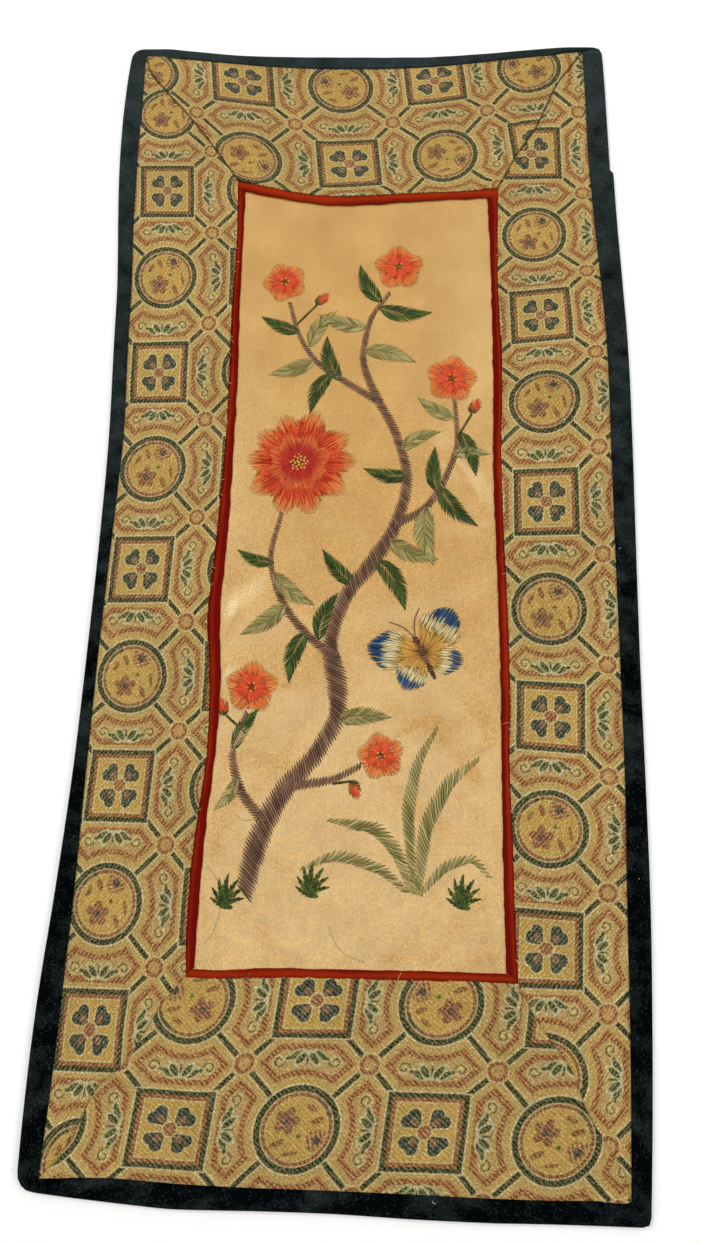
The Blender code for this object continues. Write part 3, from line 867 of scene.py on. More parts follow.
def brocadeFinish():
    cloth = Finish("brocadeFinish", roughness=brocade["roughness"], specularIorLevel=brocade["specular"])
    vector, (s, t, z) = cloth.read("weave")
    wide, high = brocade["threadWide"] / brocade["cell"], brocade["threadHigh"] / brocade["cell"]
    pick = whole(t * (1 / high))
    end = whole(s * (1 / wide) + pick * brocade["stagger"])
    across, up = (end - pick * brocade["stagger"] + 0.5) * wide, (pick + 0.5) * high
    loose = cloth.parts(cloth.noise(cloth.joined(s * 34, t * 34, z), 5.0, 1.0, output=1))
    parts = chart(*(place + (aside - 0.5) * brocade["wobble"] for place, aside in zip((across, up), loose)))
    turns = 2 * math.pi * brocade["cell"]
    ridge = sine((s * 0.62 + t * 0.78) * (turns / brocade["twill"])) * 0.5 + 0.5
    cross = sine((s * 0.80 - t * 0.60) * (turns / brocade["float"])) * 0.5 + 0.5
    floats = ridge * (cross * 0.4 + 0.6)
    between = 1 - floats
    chance = cloth.chance(end, pick, z, "3D")
    knop = cloth.noise(cloth.joined(s * 46, t * 52, z), 1.0, 1.0)
    atHead = z < stripNumber["top"] + 0.5
    share = held(between * 1.8 - 0.76 + (chance - 0.5) * 0.6 + (knop - 0.5) + atHead * 0.08)
    over, under = wovenGround
    for name, floatShade, gapShade, _ in wovenParts:
        over = cloth.mix(parts[name], over, floatShade)
        under = cloth.mix(parts[name], under, gapShade)
    worn = cloth.noise(vector, 1.3, 2.0)
    tone = (0.44 + chance * 0.40 + chance ** 4.0 * 0.20) * (0.80 + worn * 0.40)
    # painted shadow along the top strip's folded seam
    seamShadow = (z.maths("FRACT") > 0.16) * brocade["seamShadowDepth"]
    colour = cloth.scaled(cloth.mix(share, over, under), tone * (0.68 + knop * 0.64) * (1 - seamShadow))
    cloth.set(baseColor=cloth.mix(chance ** 6.0 * knop * 0.5, colour, brocade["glint"]))
    raised = sum(parts[name] for name in raisedParts)
    cloth.bump(floats * 0.3 + chance * 0.5 + knop * 0.6 + raised * 0.9, brocade["bump"])
    return cloth


def makeBrocade(place, finish):
    lines = fourLines(f"brocade_{place}", place)
    isEnd = place in ("top", "bottom")
    length = lines["outer"].length
    width = lines["start"].length if isEnd else brocade["sideWide"]
    runOn = 0.0 if isEnd else brocade["runOn"]
    along = shares(-runOn, runOn, brocade["step"], length)
    across = shares(-brocade["under"], brocade["over"], brocade["step"], width)
    u, v = np.meshgrid(along, across, indexing="ij")
    fromEnd = np.minimum(u, 1 - u) * length
    drawn, start, over = brocade["drawIn"]
    v = np.where(v < 0, v * (drawn + (1 - drawn) * ease((fromEnd - start) / over)), v)
    plan = planOf(lines, u, v)
    outer, inner = planOf(lines, u, v * 0), planOf(lines, u, v * 0 + 1)
    wide = np.linalg.norm(inner - outer, axis=-1)
    fromInner = (1 - v) * wide
    # ragged inner edge
    lap = tableAt(brocade["laps"][place], plan[..., 0 if isEnd else 1]) - brocade["over"]
    lap = lap + wavesOf(u * length, u * 0, brocade["rag"])
    inward = (inner - outer) / wide[..., None]
    plan = plan + inward * (lap * ease(1 - fromInner / brocade["ragWide"]))[..., None]
    s, t = clothPlace(place, plan, lines)
    parts = chart(s, t)
    relief = np.zeros_like(s)
    for name, _, _, rise in wovenParts:
        relief = np.where(parts[name] > 0.5, rise, relief)
    # it climbs on to the piping, the back later than the top
    lift = piping["lift"][place]
    over, past = brocade["climb"]
    climb = ease(1 - (fromInner + past) / over)
    swell = wavesOf(plan[..., 0], plan[..., 1], brocade["swell"])
    top = brocade["top"] + swell + brocade["relief"] * relief
    top = top + climb * (brocade["edgeTop"] + lift - brocade["top"])
    drop, over = brocade["edgeRound"]
    top = top - drop * ease(1 - (fromInner + brocade["over"]) / over)
    start, over = brocade["backClimb"]
    backRise = brocade["edgeBack"] + lift - brocade["back"]
    back = brocade["back"] + ease((start - fromInner) / over) * backRise
    if isEnd:
        fromSeam = fromEnd * brocade["seamNear"]
        rise, start, over = brocade["foldTop"]
        drop, edge = brocade["foldRound"]
        top = top + rise * ease((start - fromSeam) / over) - drop * ease(1 - fromSeam / edge)
        rise, start, over = brocade["foldBack"]
        back = np.maximum(back, brocade["back"] + rise * ease((start - fromSeam) / over))
    else:
        drop, start, over = brocade["runOnDrop"]
        top = top - drop * ease((start - fromEnd) / over)
    back = np.minimum(back, top - brocade["thin"])
    mark, over = brocade["seamMark"]
    seamShadow = mark * ease(1 - fromEnd / over) * (place == "top")
    weave = np.stack([s, t, stripNumber[place] + seamShadow], axis=-1)
    face, back = inFrame(plan, top), inFrame(plan, back)
    piece = closedSheet(f"brocade{place.title()}", face, back, finish, weave, 60)
    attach(piece, "root")
    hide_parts(f"brocade_{place}")
    meanWide = float(wide.mean()) + brocade["under"] + brocade["over"]
    outerLong = length + 2 * runOn
    area = (outerLong + lines["inner"].length) / 2 * meanWide * mm * mm
    flat = (meanWide * mm, outerLong * mm)


# Binding

binding = {
    "step": 2.0,
    "butt": 0.16,  # how far each end runs on
    "lean": 0.7,  # how much its corners lean along the strip
    "swell": ((0.06, 18, 21),),
    "shownAbove": 1.7,
    "colour": ink(58, 69, 70),
    "deep": ink(1, 4, 5),
    "specular": 0.02,
    "roughness": 0.55,
    "bump": 0.00016,
    # share of the strip's width, millimetres more, height of the outside, then the same of the inside;
    # the last row is the part turned under the panel
    "fold": (
        (1.00, 0.0, 1.64, 1.00, -0.10, 1.62),
        (1.00, 0.06, 1.86, 1.00, -0.20, 1.62),
        (1.00, 0.00, 2.06, 1.00, -0.40, 1.63),
        (0.97, 0.0, 2.18, 0.96, 0.0, 1.64),
        (0.90, 0.0, 2.27, 0.88, 0.0, 1.66),
        (0.72, 0.0, 2.36, 0.72, 0.0, 1.68),
        (0.50, 0.0, 2.39, 0.50, 0.0, 1.68),
        (0.30, 0.0, 2.36, 0.30, 0.0, 1.66),
        (0.14, 0.0, 2.20, 0.17, 0.0, 1.60),
        (0.05, 0.0, 1.92, 0.10, 0.1, 1.50),
        (0.01, 0.0, 1.58, 0.06, 0.2, 1.32),
        (0.00, 0.0, 1.15, 0.05, 0.2, 1.05),
        (0.00, 0.02, 0.72, 0.06, 0.2, 0.76),
        (0.02, 0.1, 0.34, 0.08, 0.3, 0.50),
        (0.05, 0.3, 0.10, 0.10, 0.5, 0.35),
        (0.10, 0.6, 0.00, 0.14, 0.8, 0.30),
        (0.00, 6.0, 0.00, 0.00, 6.0, 0.30),
    ),
}


def bindingFinish():
    cloth = Finish("bindingFinish", roughness=binding["roughness"], specularIorLevel=binding["specular"])
    vector, (x, y, up) = cloth.read("weave")
    warp, weft = sine(x * 7.4 + y * 7.4), sine(x * 7.4 - y * 7.4)
    grain = cloth.noise(vector, 1.4, 2.0)
    cloud = cloth.noise(vector, 0.10, 3.0)
    speck = cloth.chance(whole(x * 2.3), whole(y * 2.3))
    paintedSheen = (up * (1 / 400)) ** 2.0  # painted sheen, lighter towards the head
    tone = 0.045 + (cloud - 0.5) * 1.3 + (grain - 0.5) * 0.35 + (speck - 0.5) * 0.12
    tone = tone + speck ** 14.0 * 0.4 + paintedSheen * 0.54
    cloth.set(baseColor=cloth.mix(held(tone), binding["deep"], binding["colour"]))
    cloth.bump(warp * weft * 0.5 + grain * 0.8 + speck * 0.5, binding["bump"])
    return cloth


def makeBinding(place, finish):
    lines = fourLines(f"binding_{place}", place, binding["lean"])
    length = lines["outer"].length
    along = shares(-binding["butt"], binding["butt"], binding["step"], length)
    width = np.linalg.norm(lines["inner"](along) - lines["outer"](along), axis=1)[:, None]
    table = np.array(binding["fold"])
    acrossOut = table[:, 0] + table[:, 1] / width
    acrossIn = table[:, 3] + table[:, 4] / width
    u = np.broadcast_to(along[:, None], acrossOut.shape)
    planOut, planIn = planOf(lines, u, acrossOut), planOf(lines, u, acrossIn)
    shown = table[:, 2] > binding["shownAbove"]
    swell = wavesOf(planOut[..., 0], planOut[..., 1], binding["swell"]) * shown
    face = inFrame(planOut, np.maximum(0, table[:, 2] + swell))
    back = inFrame(planIn, table[:, 5] + swell * 0.6)
    steps = np.hypot(np.diff(acrossOut, axis=1) * width, np.diff(table[:, 2]))
    turned = np.concatenate([0 * width, np.cumsum(steps, axis=1)], axis=1)
    weave = np.stack([u * length, turned, planOut[..., 1]], axis=-1)
    piece = closedSheet(f"binding{place.title()}", face, back, finish, weave)
    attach(piece, "root")
    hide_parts(f"binding_{place}")


# Stitching. The picture is made up: a blossoming branch, narrow leaves and a butterfly.

silks = {
    "bark": (ink(122, 86, 66), ink(146, 108, 88), ink(96, 64, 48)),
    "deepLeaf": (ink(52, 76, 16), ink(32, 54, 12), ink(84, 108, 30)),
    "sageLeaf": (ink(156, 148, 84), ink(128, 120, 56), ink(190, 182, 122)),
    "flame": (ink(222, 66, 14), ink(200, 44, 8), ink(236, 96, 32)),
    "ember": (ink(184, 24, 4), ink(150, 14, 2), ink(208, 44, 10)),
    "apricot": (ink(244, 150, 58), ink(250, 178, 92), ink(232, 116, 38)),
    "coral": (ink(228, 88, 38), ink(214, 64, 24), ink(240, 124, 66)),
    "blue": (ink(18, 74, 116), ink(8, 46, 82), ink(54, 108, 146)),
    "cream": (ink(232, 216, 160), ink(216, 196, 136), ink(244, 232, 190)),
    "honey": (ink(176, 112, 38), ink(146, 86, 28), ink(200, 140, 60)),
    "straw": (ink(228, 184, 76), ink(208, 156, 56), ink(240, 206, 112)),
}
thread = {
    "wide": 0.92,
    "rise": 0.42,
    "pitch": 0.80,
    "fine": 0.72,  # how much finer the thread of petals and wings is
    "sunk": 0.10,  # how far a stitch starts below the satin's face
    # share of the stitch's length, share of its width, share of its rise, how dark it is there with painted
    # shade towards its dipping ends
    "stations": (
        (0.06, 0.60, 0.45, 0.66),
        (0.28, 1.0, 0.95, 1.0),
        (0.72, 1.0, 0.95, 1.0),
        (0.94, 0.60, 0.45, 0.66),
    ),
    "tipPaintedShade": 0.25,
    "apart": 1.7,  # how far on in its unevenness the next stitch is
    "hole": ink(52, 34, 16),
    "holeWide": 0.62,
    "holeRise": 0.07,
    "holeSunk": 0.05,
    "tones": (0.86, 1.10),  # how dark and how light a stitch may be
    "specular": 0.28,
    "roughness": 0.42,
    "bump": 0.00016,
}


def heading(turn):
    # the way a turn in degrees points, and the way at its left
    angle = math.radians(turn)
    return np.array([math.cos(angle), math.sin(angle)]), np.array([-math.sin(angle), math.cos(angle)])


class Needlework:
    # stitches of one motif, sewn together as one mesh
    def __init__(self, seed):
        self.picks = random.Random(seed)
        self.rows = []
        self.tints = []

    def shade(self, silk):
        first, second = self.picks.sample(silks[silk], 2)
        share, tone = self.picks.random(), self.picks.uniform(*thread["tones"])
        return [(a + (b - a) * share) * tone for a, b in zip(first, second)]

    def stitch(self, start, finish, silk, endSilk=None, layer=0.0, wide=1.0, rise=1.0):
        self.rows.append((*start, *finish, wide * thread["wide"], rise * thread["rise"], layer))
        first = self.shade(silk)
        self.tints.append((first, self.shade(endSilk) if endSilk else first))

    def strands(self):
        # stitches as three-sided strands that dip into the satin at both ends
        rows, tints = np.array(self.rows), np.array(self.tints)
        start, run = rows[:, 0:2], rows[:, 2:4] - rows[:, 0:2]
        wide, rise, layer = rows[:, 4:].T
        length = np.linalg.norm(run, axis=1)
        aside = np.stack([-run[:, 1], run[:, 0]], axis=1) / length[:, None]
        plans, heights, colours, strands = [], [], [], []
        tipShade = thread["tipPaintedShade"]
        for share, swell, lift, dark in ((0.0, 0.0, 0.0, tipShade), *thread["stations"], (1.0, 0.0, 0.0, tipShade)):
            for side in ((1, -1, 0) if swell else (0,)):
                plan = start + run * share + aside * (side * swell * wide / 2)[:, None]
                isRidge = swell > 0 and side == 0
                above = layer + rise * lift if isRidge else layer * 0.5 - thread["sunk"]
                heights.append(satinTop(*plan.T) + above)
                plans.append(plan)
                blend = tints[:, 0] * (1 - share) + tints[:, 1] * share
                # the strand's flanks and its ends where it dips into the satin are darkened with painted
                # shade
                colours.append(blend * dark * (0.8 if side else 1.0))
                apart = np.arange(len(rows)) * thread["apart"]
                strands.append(np.stack([length * share, 0 * length + side, apart], axis=1))
        last = len(plans) - 1
        faces = []
        for left in range(1, last - 3, 3):
            right, ridge = left + 1, left + 2
            faces += [(left, ridge, ridge + 3, left + 3), (ridge, right, right + 3, ridge + 3),
                      (right, left, left + 3, right + 3)]
        faces += [(0, 3, 1), (0, 2, 3), (0, 1, 2), (last, last - 3, last - 1), (last, last - 1, last - 2),
                  (last, last - 2, last - 3)]
        return plans, heights, colours, strands, faces

    def holes(self):
        # the dimple that the needle leaves at each end of a stitch, coloured dark with painted shade
        rows = np.array(self.rows)
        ends = np.concatenate([rows[:, 0:2], rows[:, 2:4]])
        half = thread["holeWide"] / 2
        plans = [ends + half * np.array(step) for step in ((-1, 0), (0, -1), (1, 0), (0, 1), (0, 0))]
        lifts = [-thread["holeSunk"]] * 4 + [thread["holeRise"]]
        heights = [satinTop(*plan.T) + lift for plan, lift in zip(plans, lifts)]
        colours = [np.tile(thread["hole"], (len(ends), 1)) for plan in plans]
        strands = [np.zeros((len(ends), 3)) for plan in plans]
        return plans, heights, colours, strands, [(0, 1, 4), (1, 2, 4), (2, 3, 4), (3, 0, 4), (0, 3, 2, 1)]

    def sewn(self, name, finish):
        verts, tints, strands, faces = [], [], [], []
        for plans, heights, colours, runs, pattern in (self.strands(), self.holes()):
            before = sum(len(group) for group in verts)
            first = before + np.arange(len(plans[0])) * len(plans)
            faces += [tuple(start + k for k in face) for start in first.tolist() for face in pattern]
            verts.append(inFrame(np.stack(plans, axis=1), np.stack(heights, axis=1)).reshape(-1, 3))
            tints.append(np.stack(colours, axis=1).reshape(-1, 4))
            strands.append(np.stack(runs, axis=1).reshape(-1, 3))
        verts, tint, strand = (np.concatenate(group) for group in (verts, tints, strands))
        tint[:, 3] = 1
        piece = meshObject(name, verts, faces, finish, tint=tint, strand=strand)
        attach(piece, "root")
        print(name, len(self.rows), "stitches")
        return piece


def pathOf(table):
    # a smooth line and its width at a share of its length
    points = np.array(table, float)
    run = smoothRun(points[:, :2])
    steps = np.linalg.norm(np.diff(points[:, :2], axis=0), axis=1)
    at = np.concatenate([[0.0], np.cumsum(steps)]) / steps.sum()
    return run, lambda share: float(np.interp(share, at, points[:, 2]))


def ahead(run, share):
    step = run(min(share + 0.01, 1.0)) - run(max(share - 0.01, 0.0))
    return step / np.linalg.norm(step)


def ribbon(work, table, silk, slant=0.5, layer=0.0):
    # slanted stitches side by side that cover a line of changing width
    run, width = pathOf(table)
    count = max(3, round(run.length / thread["pitch"] / math.hypot(1, slant)))
    for k in range(count):
        share = (k + 0.5) / count
        here, way = run(share), ahead(run, share)
        aside = np.array([-way[1], way[0]])
        left, right = (width(share) / 2 * work.picks.uniform(0.94, 1.12) for _ in range(2))
        start = here - (aside + way * slant) * right
        finish = here + (aside + way * slant) * left
        work.stitch(start, finish, silk, layer=layer, rise=min(1.5, 0.7 + width(share) / 6))


def stemLine(work, table, silk, layer=0.15):
    # short overlapping stitches that follow a line
    run, width = pathOf(table)
    count = max(2, round(run.length / 1.5))
    for k in range(count):
        finish = run(min(1.0, (k + 1.5) / count))
        work.stitch(run(k / count), finish, silk, layer=layer, wide=width(k / count) / thread["wide"])


def leaf(work, across, up, turn, length, silk, wide=0.34, bend=0.08, lean=0.24):
    # two rows of stitches that lean from the midrib out to the edge
    way, aside = heading(turn)
    base = np.array([across, up], float)
    spacing = thread["pitch"] * math.hypot(1, lean * 2 / wide) * 0.68
    count = max(4, round(length / spacing))

    def midrib(share):
        return base + way * length * share + aside * bend * length * 4 * share * (1 - share)

    for side in (1, -1):
        for k in range(-2, count):
            share = max(0.0, (k + 0.5) / count)
            reach = min(max((k + 0.5) / count + lean, 0.03), 1.0)
            spread = abs(math.sin(math.pi * reach ** 0.8)) ** 0.85 * length * wide / 2
            edge = midrib(reach) + aside * side * spread * work.picks.uniform(0.94, 1.08)
            inner = midrib(share) - aside * side * 0.06
            if np.linalg.norm(edge - inner) > 0.9:
                work.stitch(inner, edge, silk, wide=0.85, layer=0.02 * side)


def petal(work, centre, turn, length, wide, rows, rounding, layer=0.0, rootWide=0.14):
    # rows of long and short stitches that fan from the root of a petal to its edge
    way, aside = heading(turn)
    fine = thread["fine"]
    count = max(3, round(wide / thread["pitch"] / fine))

    def spot(share, q):
        spread = rootWide + (1 - rootWide) * math.sin(math.pi / 2 * min(1.0, share * 1.4)) ** 0.9
        narrowing = 1 - 0.3 * max(0, share - 0.7)
        return centre + way * length * share + aside * q * wide / 2 * spread * narrowing

    for order, (low, high, silk, endSilk) in enumerate(rows):
        for k in range(count):
            q = (k + 0.5) / count * 2 - 1 + work.picks.uniform(-0.4, 0.4) / count
            edge = 1 - rounding * abs(q) ** 2.2
            first = max(0.02, low + work.picks.uniform(-0.07, 0.09))
            last = min(edge * work.picks.uniform(0.98, 1.02), high + work.picks.uniform(-0.12, 0.10))
            if high == 1:
                last = edge * work.picks.uniform(0.98, 1.02)
            if last - first > 0.12:
                lift = layer + 0.08 * order
                work.stitch(spot(first, q), spot(last, q), silk, endSilk, layer=lift, wide=fine)


def knot(work, centre, silk, wide=0.9):
    # a wound knot, as short fat stitches over one another
    turn = work.picks.uniform(0, 180)
    for k in range(3):
        half = heading(turn + 60 * k)[0] * wide * 0.55
        fat, high = wide / thread["wide"] * 0.75, 1.3 + 0.2 * k
        work.stitch(centre - half, centre + half, silk, wide=fat, rise=high, layer=0.25)


# Rows of across, up, width
branches = (
    ((-29, 84, 5.4), (-26, 98, 7.2), (-19, 114, 6.6), (-8, 128, 5.4), (-2, 142, 5.8), (-3, 152, 7.0),
     (-5, 163, 5.0), (-1, 178, 4.6), (8, 191, 5.6), (15, 203, 4.4), (19, 220, 3.6), (15, 237, 3.2),
     (8, 251, 3.4), (3, 266, 2.4), (5, 280, 2.0), (12, 292, 1.5)),
    ((-24, 106, 3.6), (-32, 116, 3.0), (-35, 127, 2.4), (-31, 140, 1.8)),
    ((-3, 158, 3.4), (-14, 167, 3.0), (-22, 178, 2.6), (-26, 192, 2.0), (-23, 208, 1.6)),
    ((15, 204, 3.4), (25, 210, 2.8), (32, 221, 2.4), (36, 235, 1.9), (35, 250, 1.5)),
    ((9, 249, 3.0), (-2, 256, 2.4), (-13, 264, 2.0), (-20, 275, 1.7), (-24, 288, 1.4)),
    ((-16, 117, 3.4), (-4, 119, 2.6), (6, 124, 1.8)),
)
# across, up, turn in degrees, length, silk
leaves = (
    (30, 218, -48, 19, "deepLeaf"), (34, 229, 4, 13, "sageLeaf"), (26, 211, -84, 21, "sageLeaf"),
    (29, 216, 92, 16, "deepLeaf"), (35, 243, 148, 15, "sageLeaf"), (37, 238, -72, 17, "deepLeaf"),
    (-5, 257, 106, 18, "deepLeaf"), (-14, 265, 200, 17, "sageLeaf"), (-8, 260, 246, 17, "deepLeaf"),
    (-20, 276, 156, 15, "deepLeaf"), (-16, 270, 58, 17, "sageLeaf"),
    (4, 278, 164, 18, "sageLeaf"), (8, 286, -6, 19, "deepLeaf"), (3, 269, -14, 19, "sageLeaf"),
    (9, 288, 118, 17, "deepLeaf"),
    (-20, 176, 216, 18, "sageLeaf"), (-13, 167, 254, 18, "deepLeaf"), (-25, 190, 160, 13, "deepLeaf"),
    (-25, 187, 322, 18, "sageLeaf"), (-9, 164, 70, 17, "deepLeaf"),
    (9, 192, -60, 20, "deepLeaf"), (13, 199, -22, 18, "sageLeaf"), (2, 183, 132, 16, "deepLeaf"),
    (-33, 119, 236, 12, "sageLeaf"), (-35, 128, 60, 15, "deepLeaf"), (-2, 138, 4, 17, "sageLeaf"),
    (20, 222, 172, 16, "deepLeaf"), (17, 231, 28, 15, "sageLeaf"),
)
blades = (
    ((22, 86, 1.6), (17, 98, 4.2), (9, 105, 4.2), (-4, 107, 0.9)),
    ((24, 86, 1.6), (26, 103, 4.6), (33, 118, 4.4), (43, 127, 0.9)),
    ((21, 86, 1.4), (11, 93, 3.6), (-1, 96, 3.4), (-12, 92, 0.8)),
    ((25, 86, 1.4), (33, 94, 3.4), (40, 96, 2.8), (46, 91, 0.8)),
    ((23, 86, 1.6), (21, 108, 4.0), (23, 122, 3.6), (30, 137, 0.8)),
)
tufts = ((-8, 84), (38, 82), (-34, 80))
# across, up, radius, turn
smallBlossoms = (
    (34, 258, 9.0, 10), (-26, 296, 8.0, 40), (15, 302, 9.0, 20), (-30, 148, 8.5, 15), (12, 127, 7.5, 30),
)
# across, up, turn, and where its stem starts
buds = ((41, 245, 66, 36, 236), (-14, 287, 50, -21, 279), (-38, 139, 110, -31, 133), (3, 119, -70, -3, 118))
bigBlossom = {"middle": (-18, 226), "radius": 19.0, "knots": 22, "knotTurn": 137.5}
butterfly = {
    "middle": (25, 160),
    "turn": 26,
    # turn from the body's line, length, width
    "wings": ((58, 18.0, 15.0), (-58, 18.0, 15.0), (126, 13.0, 11.5), (-126, 13.0, 11.5)),
}


def threadFinish():
    silk = Finish("threadFinish", roughness=thread["roughness"], specularIorLevel=thread["specular"])
    tint = silk.add("ShaderNodeAttribute", {"attribute_name": "tint"}, {}, 0)
    _, (x, y, z) = silk.read("strand")
    filament = silk.noise(silk.joined(x * 0.5, y * 3.0, z), 1.0, 2.0)
    silk.set(baseColor=silk.scaled(tint, 0.64 + filament * 0.62))
    silk.bump(filament, thread["bump"])
    return silk


def sewBranch():
    wood = Needlework(3)
    for table in branches[::-1]:
        ribbon(wood, table, "bark", 0.75)
    return wood


def sewLeaves():
    greens = Needlework(4)
    for across, up, turn, length, colour in leaves:
        leaf(greens, across, up, turn, length, colour, bend=greens.picks.choice((-0.10, 0.10, 0.06)))
    for across, up, turn, fromAcross, fromUp in buds:
        stemLine(greens, ((fromAcross, fromUp, 0.9), (across, up, 0.9)), "deepLeaf")
        for lean in (26, -26):
            leaf(greens, across, up, turn + lean, 4.0, "deepLeaf", wide=0.5)
    return greens


def sewGrass():
    grass = Needlework(5)
    for table in blades:
        ribbon(grass, table, "sageLeaf", 1.5)
    for across, up in tufts:
        for k, turn in enumerate((22, 44, 66, 90, 112, 136, 158)):
            length = 10 - 0.8 * abs(k - 3)
            leaf(grass, across + (k - 3) * 0.6, up, turn, length, "deepLeaf", wide=0.22)
    return grass


def sewBlossoms():
    blossom = Needlework(6)
    centre = np.array(bigBlossom["middle"], float)
    outer = (
        (0.42, 1.0, "flame", "apricot"),
        (0.08, 0.60, "ember", "flame"),
        (0.36, 0.80, "ember", "flame"),
    )
    inner = ((0.40, 1.0, "ember", "apricot"), (0.06, 0.66, "ember", "ember"))
    rings = ((10, 1.0, 11.5, 0.0, outer), (8, 0.62, 8.2, 0.25, inner))
    for ring, (number, reach, wide, layer, rows) in enumerate(rings):
        for k in range(number):
            turn = 360 / number * (k + 0.5 * ring) + blossom.picks.uniform(-4, 4)
            length = bigBlossom["radius"] * reach * blossom.picks.uniform(0.92, 1.05)
            petal(blossom, centre, turn, length, wide, rows, 0.34, layer)
    for k in range(bigBlossom["knots"]):
        way = heading(k * bigBlossom["knotTurn"])[0]
        knot(blossom, centre + 0.66 * math.sqrt(k) * way, "straw", 1.1)
    for across, up, radius, turn in smallBlossoms:
        middle = np.array([across, up], float)
        for k in range(5):
            rows = ((0.42, 1.0, "coral", "apricot"), (0.06, 0.62, "flame", "coral"))
            petal(blossom, middle, turn + 72 * k, radius, radius, rows, 0.36)
        for k in range(5):
            knot(blossom, middle + 0.17 * radius * heading(turn + 36 + 72 * k)[0], "straw", 0.8)
    for across, up, turn, *_ in buds:
        middle = np.array([across, up], float)
        petal(blossom, middle, turn, 6.0, 4.4, ((0.05, 1.0, "flame", "coral"),), 0.5, rootWide=0.3)
    return blossom


def sewButterfly():
    flyer = Needlework(7)
    middle = np.array(butterfly["middle"], float)
    for turn, length, wide in butterfly["wings"][::-1]:
        rows = ((0.64, 1.0, "blue", "blue"), (0.40, 0.76, "cream", "cream"), (0.05, 0.50, "honey", "straw"))
        layer = 0.0 if length < 14 else 0.12  # the longer wings lie over the others
        petal(flyer, middle, butterfly["turn"] + 90 + turn, length, wide, rows, 0.42, layer)
    way, aside = heading(butterfly["turn"] + 90)
    body = ((-9.0, 1.0), (-2.5, 2.4), (4.0, 2.8), (6.4, 1.6))
    ribbon(flyer, [(*(middle + way * along), width) for along, width in body], "bark", 0.3, 0.4)
    for side in (1, -1):
        feeler = ((6.0, 0.0), (11.0, 2.0), (14.5, 5.5))
        points = [middle + way * along + aside * side * out for along, out in feeler]
        stemLine(flyer, [(*point, 0.4) for point in points], "bark")
    return flyer


def makeStitching():
    silk = threadFinish()
    motifs = {
        "stitchedBranch": sewBranch,
        "stitchedLeaves": sewLeaves,
        "stitchedGrass": sewGrass,
        "stitchedBlossoms": sewBlossoms,
        "stitchedButterfly": sewButterfly,
    }
    return [sew().sewn(name, silk) for name, sew in motifs.items()]


# Loose fibres: frayed ends of the brocade, lint and hairs

frayed = {
    "wide": 0.15,
    "reach": (0.6, 1.5, 1.4),  # shortest and longest, and how much longer one in ten is
    "heights": (1.86, 2.16),
    "rooted": 0.25,  # how far back from the strip's edge it starts
    "strips": (("left", 70), ("right", 46), ("bottom", 24), ("top", 40)),
    "colours": (
        ink(226, 196, 128), ink(240, 222, 170), ink(164, 118, 62), ink(70, 70, 48), ink(196, 150, 84),
    ),
    "lint": ink(206, 210, 206),
    "lintWide": 0.18,
    "lintHeights": (2.44, 2.5),
    "dust": (
        (-91.5, 6.5), (-84.8, 197.0), (81.0, 333.0), (88.5, 196.0), (-86.0, 262.0), (30.0, 3.0),
        (90.5, 92.0),
    ),
    "hair": ink(96, 66, 34),
    "hairWide": 0.10,
    "hairLift": 0.12,
    "hairs": (
        ((-40.5, 92), (-37, 87), (-36, 80), (-37.5, 73), (-40.5, 69)),
        ((-3, 76), (0, 70), (4, 67), (9, 65.5)),
        ((-33, 108), (-30, 106), (-26.5, 106.5)),
    ),
}


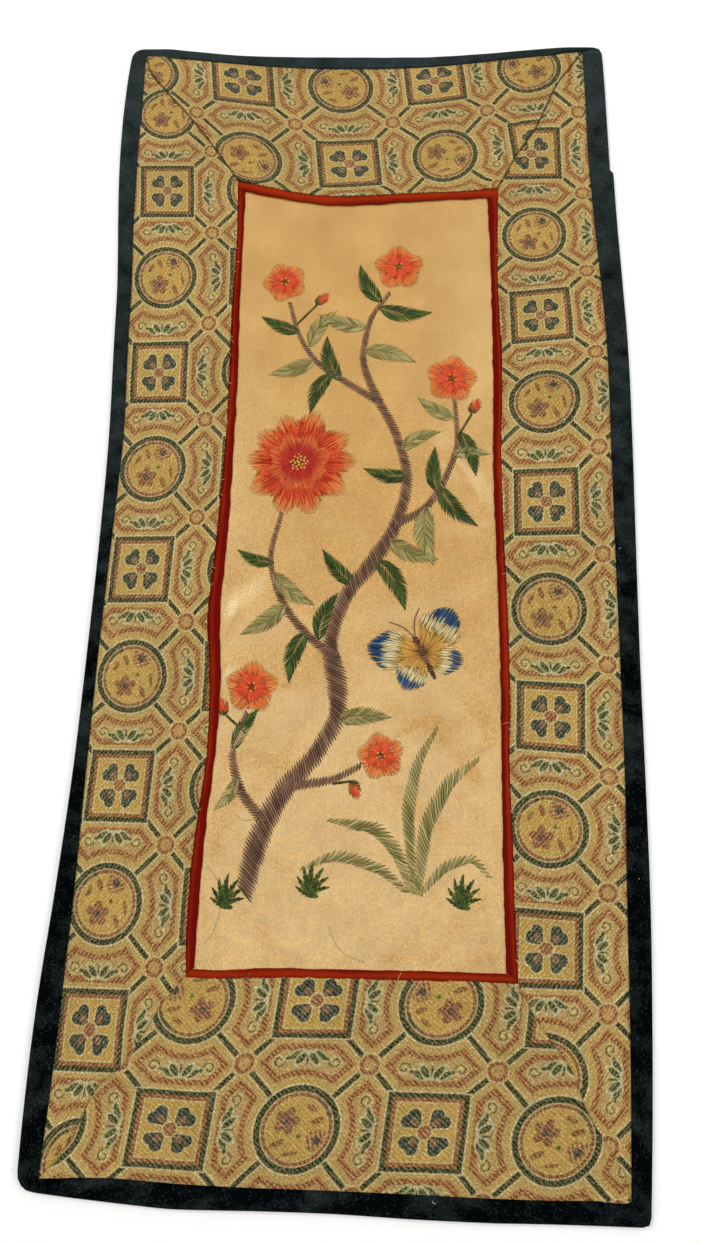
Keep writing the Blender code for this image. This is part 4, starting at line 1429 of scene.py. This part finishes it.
class Fibres:
    # thin threads in one mesh
    def __init__(self, seed):
        self.picks = random.Random(seed)
        self.verts = []
        self.faces = []
        self.tints = []

    def lay(self, points, wide, tint):
        # a thread along points in millimetres, finer at its ends
        points = np.array(points, float)
        way = np.gradient(points, axis=0)
        aside = np.cross(way, (0.0, 0.0, 1.0))
        aside = aside / np.linalg.norm(aside, axis=1)[:, None]
        upward = np.cross(aside, way)
        upward = upward / np.linalg.norm(upward, axis=1)[:, None]
        first, last = len(self.verts), len(points) - 1
        for k, point in enumerate(points):
            half = wide / 2 * (1.0 if 0 < k < last else 0.5)
            for turn in (90, 210, 330):
                angle = math.radians(turn)
                self.verts.append(point + (aside[k] * math.cos(angle) + upward[k] * math.sin(angle)) * half)
                self.tints.append((*tint[:3], 1.0))
        for k in range(last):
            ring = first + 3 * k
            for a, b in ((0, 1), (1, 2), (2, 0)):
                self.faces.append((ring + a, ring + 3 + a, ring + 3 + b, ring + b))
        ring = first + 3 * last
        self.faces += [(first, first + 1, first + 2), (ring, ring + 2, ring + 1)]

    def curl(self, start, way, length, low, high):
        # points of a short thread that bends as it goes
        turn = math.atan2(way[1], way[0]) + self.picks.uniform(-0.9, 0.9)
        bend = self.picks.uniform(-0.5, 0.5)
        points = [(start[0], start[1], high)]
        for k in range(4):
            x, y, height = points[-1]
            turn += bend
            rise = low + (high - low) * (1 - (k + 1) / 4) + self.picks.uniform(0, 0.12)
            points.append((x + math.cos(turn) * length / 4, y + math.sin(turn) * length / 4, rise))
        return points


def makeFibres():
    loose = Fibres(12)
    short, long, more = frayed["reach"]
    low, high = frayed["heights"]
    for place, count in frayed["strips"]:
        lines = fourLines(f"brocade_{place}", place)
        for _ in range(count):
            share = loose.picks.uniform(0.01, 0.99)
            inner, outer = lines["inner"](share), lines["outer"](share)
            way = (inner - outer) / np.linalg.norm(inner - outer)
            length = loose.picks.uniform(short, long) + more * (loose.picks.random() > 0.9)
            start = inner - way * frayed["rooted"]
            points = loose.curl(start, way, length, low, high + piping["lift"][place])
            loose.lay(points, frayed["wide"], loose.picks.choice(frayed["colours"]))
    for spot in frayed["dust"]:
        way = loose.picks.uniform(-1, 1), loose.picks.uniform(-1, 1)
        points = loose.curl(spot, way, loose.picks.uniform(0.7, 1.6), *frayed["lintHeights"])
        loose.lay(points, frayed["lintWide"], frayed["lint"])
    for hair in frayed["hairs"]:
        plan = smoothRun(np.array(hair, float))(np.linspace(0, 1, 24))
        height = satinTop(plan[:, 0], plan[:, 1]) + frayed["hairLift"]
        loose.lay(np.column_stack([plan, height]), frayed["hairWide"], frayed["hair"])
    verts = np.array(loose.verts)
    strand = np.column_stack([verts[:, :2], np.zeros(len(verts))])
    tint = np.array(loose.tints)
    piece = meshObject("looseFibres", inFrame(verts[:, :2], verts[:, 2]), loose.faces, threadFinish(),
                       tint=tint, strand=strand)
    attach(piece, "root")


def makeFour(make, finish):
    # one strip along each edge
    for place in ("left", "right", "bottom", "top"):
        make(place, finish)


setCamera()
setStudio()
print("stage set")
satinPiece, satinFlat = makeSatin()
print("satin laid")
makeFour(makePiping, pipingFinish())
print("piping folded")
makeFour(makeBrocade, brocadeFinish())
print("brocade woven")
makeFour(makeBinding, bindingFinish())
print("binding folded")
stitchedPieces = makeStitching()
print("picture stitched")
makeFibres()
print("loose fibres laid")
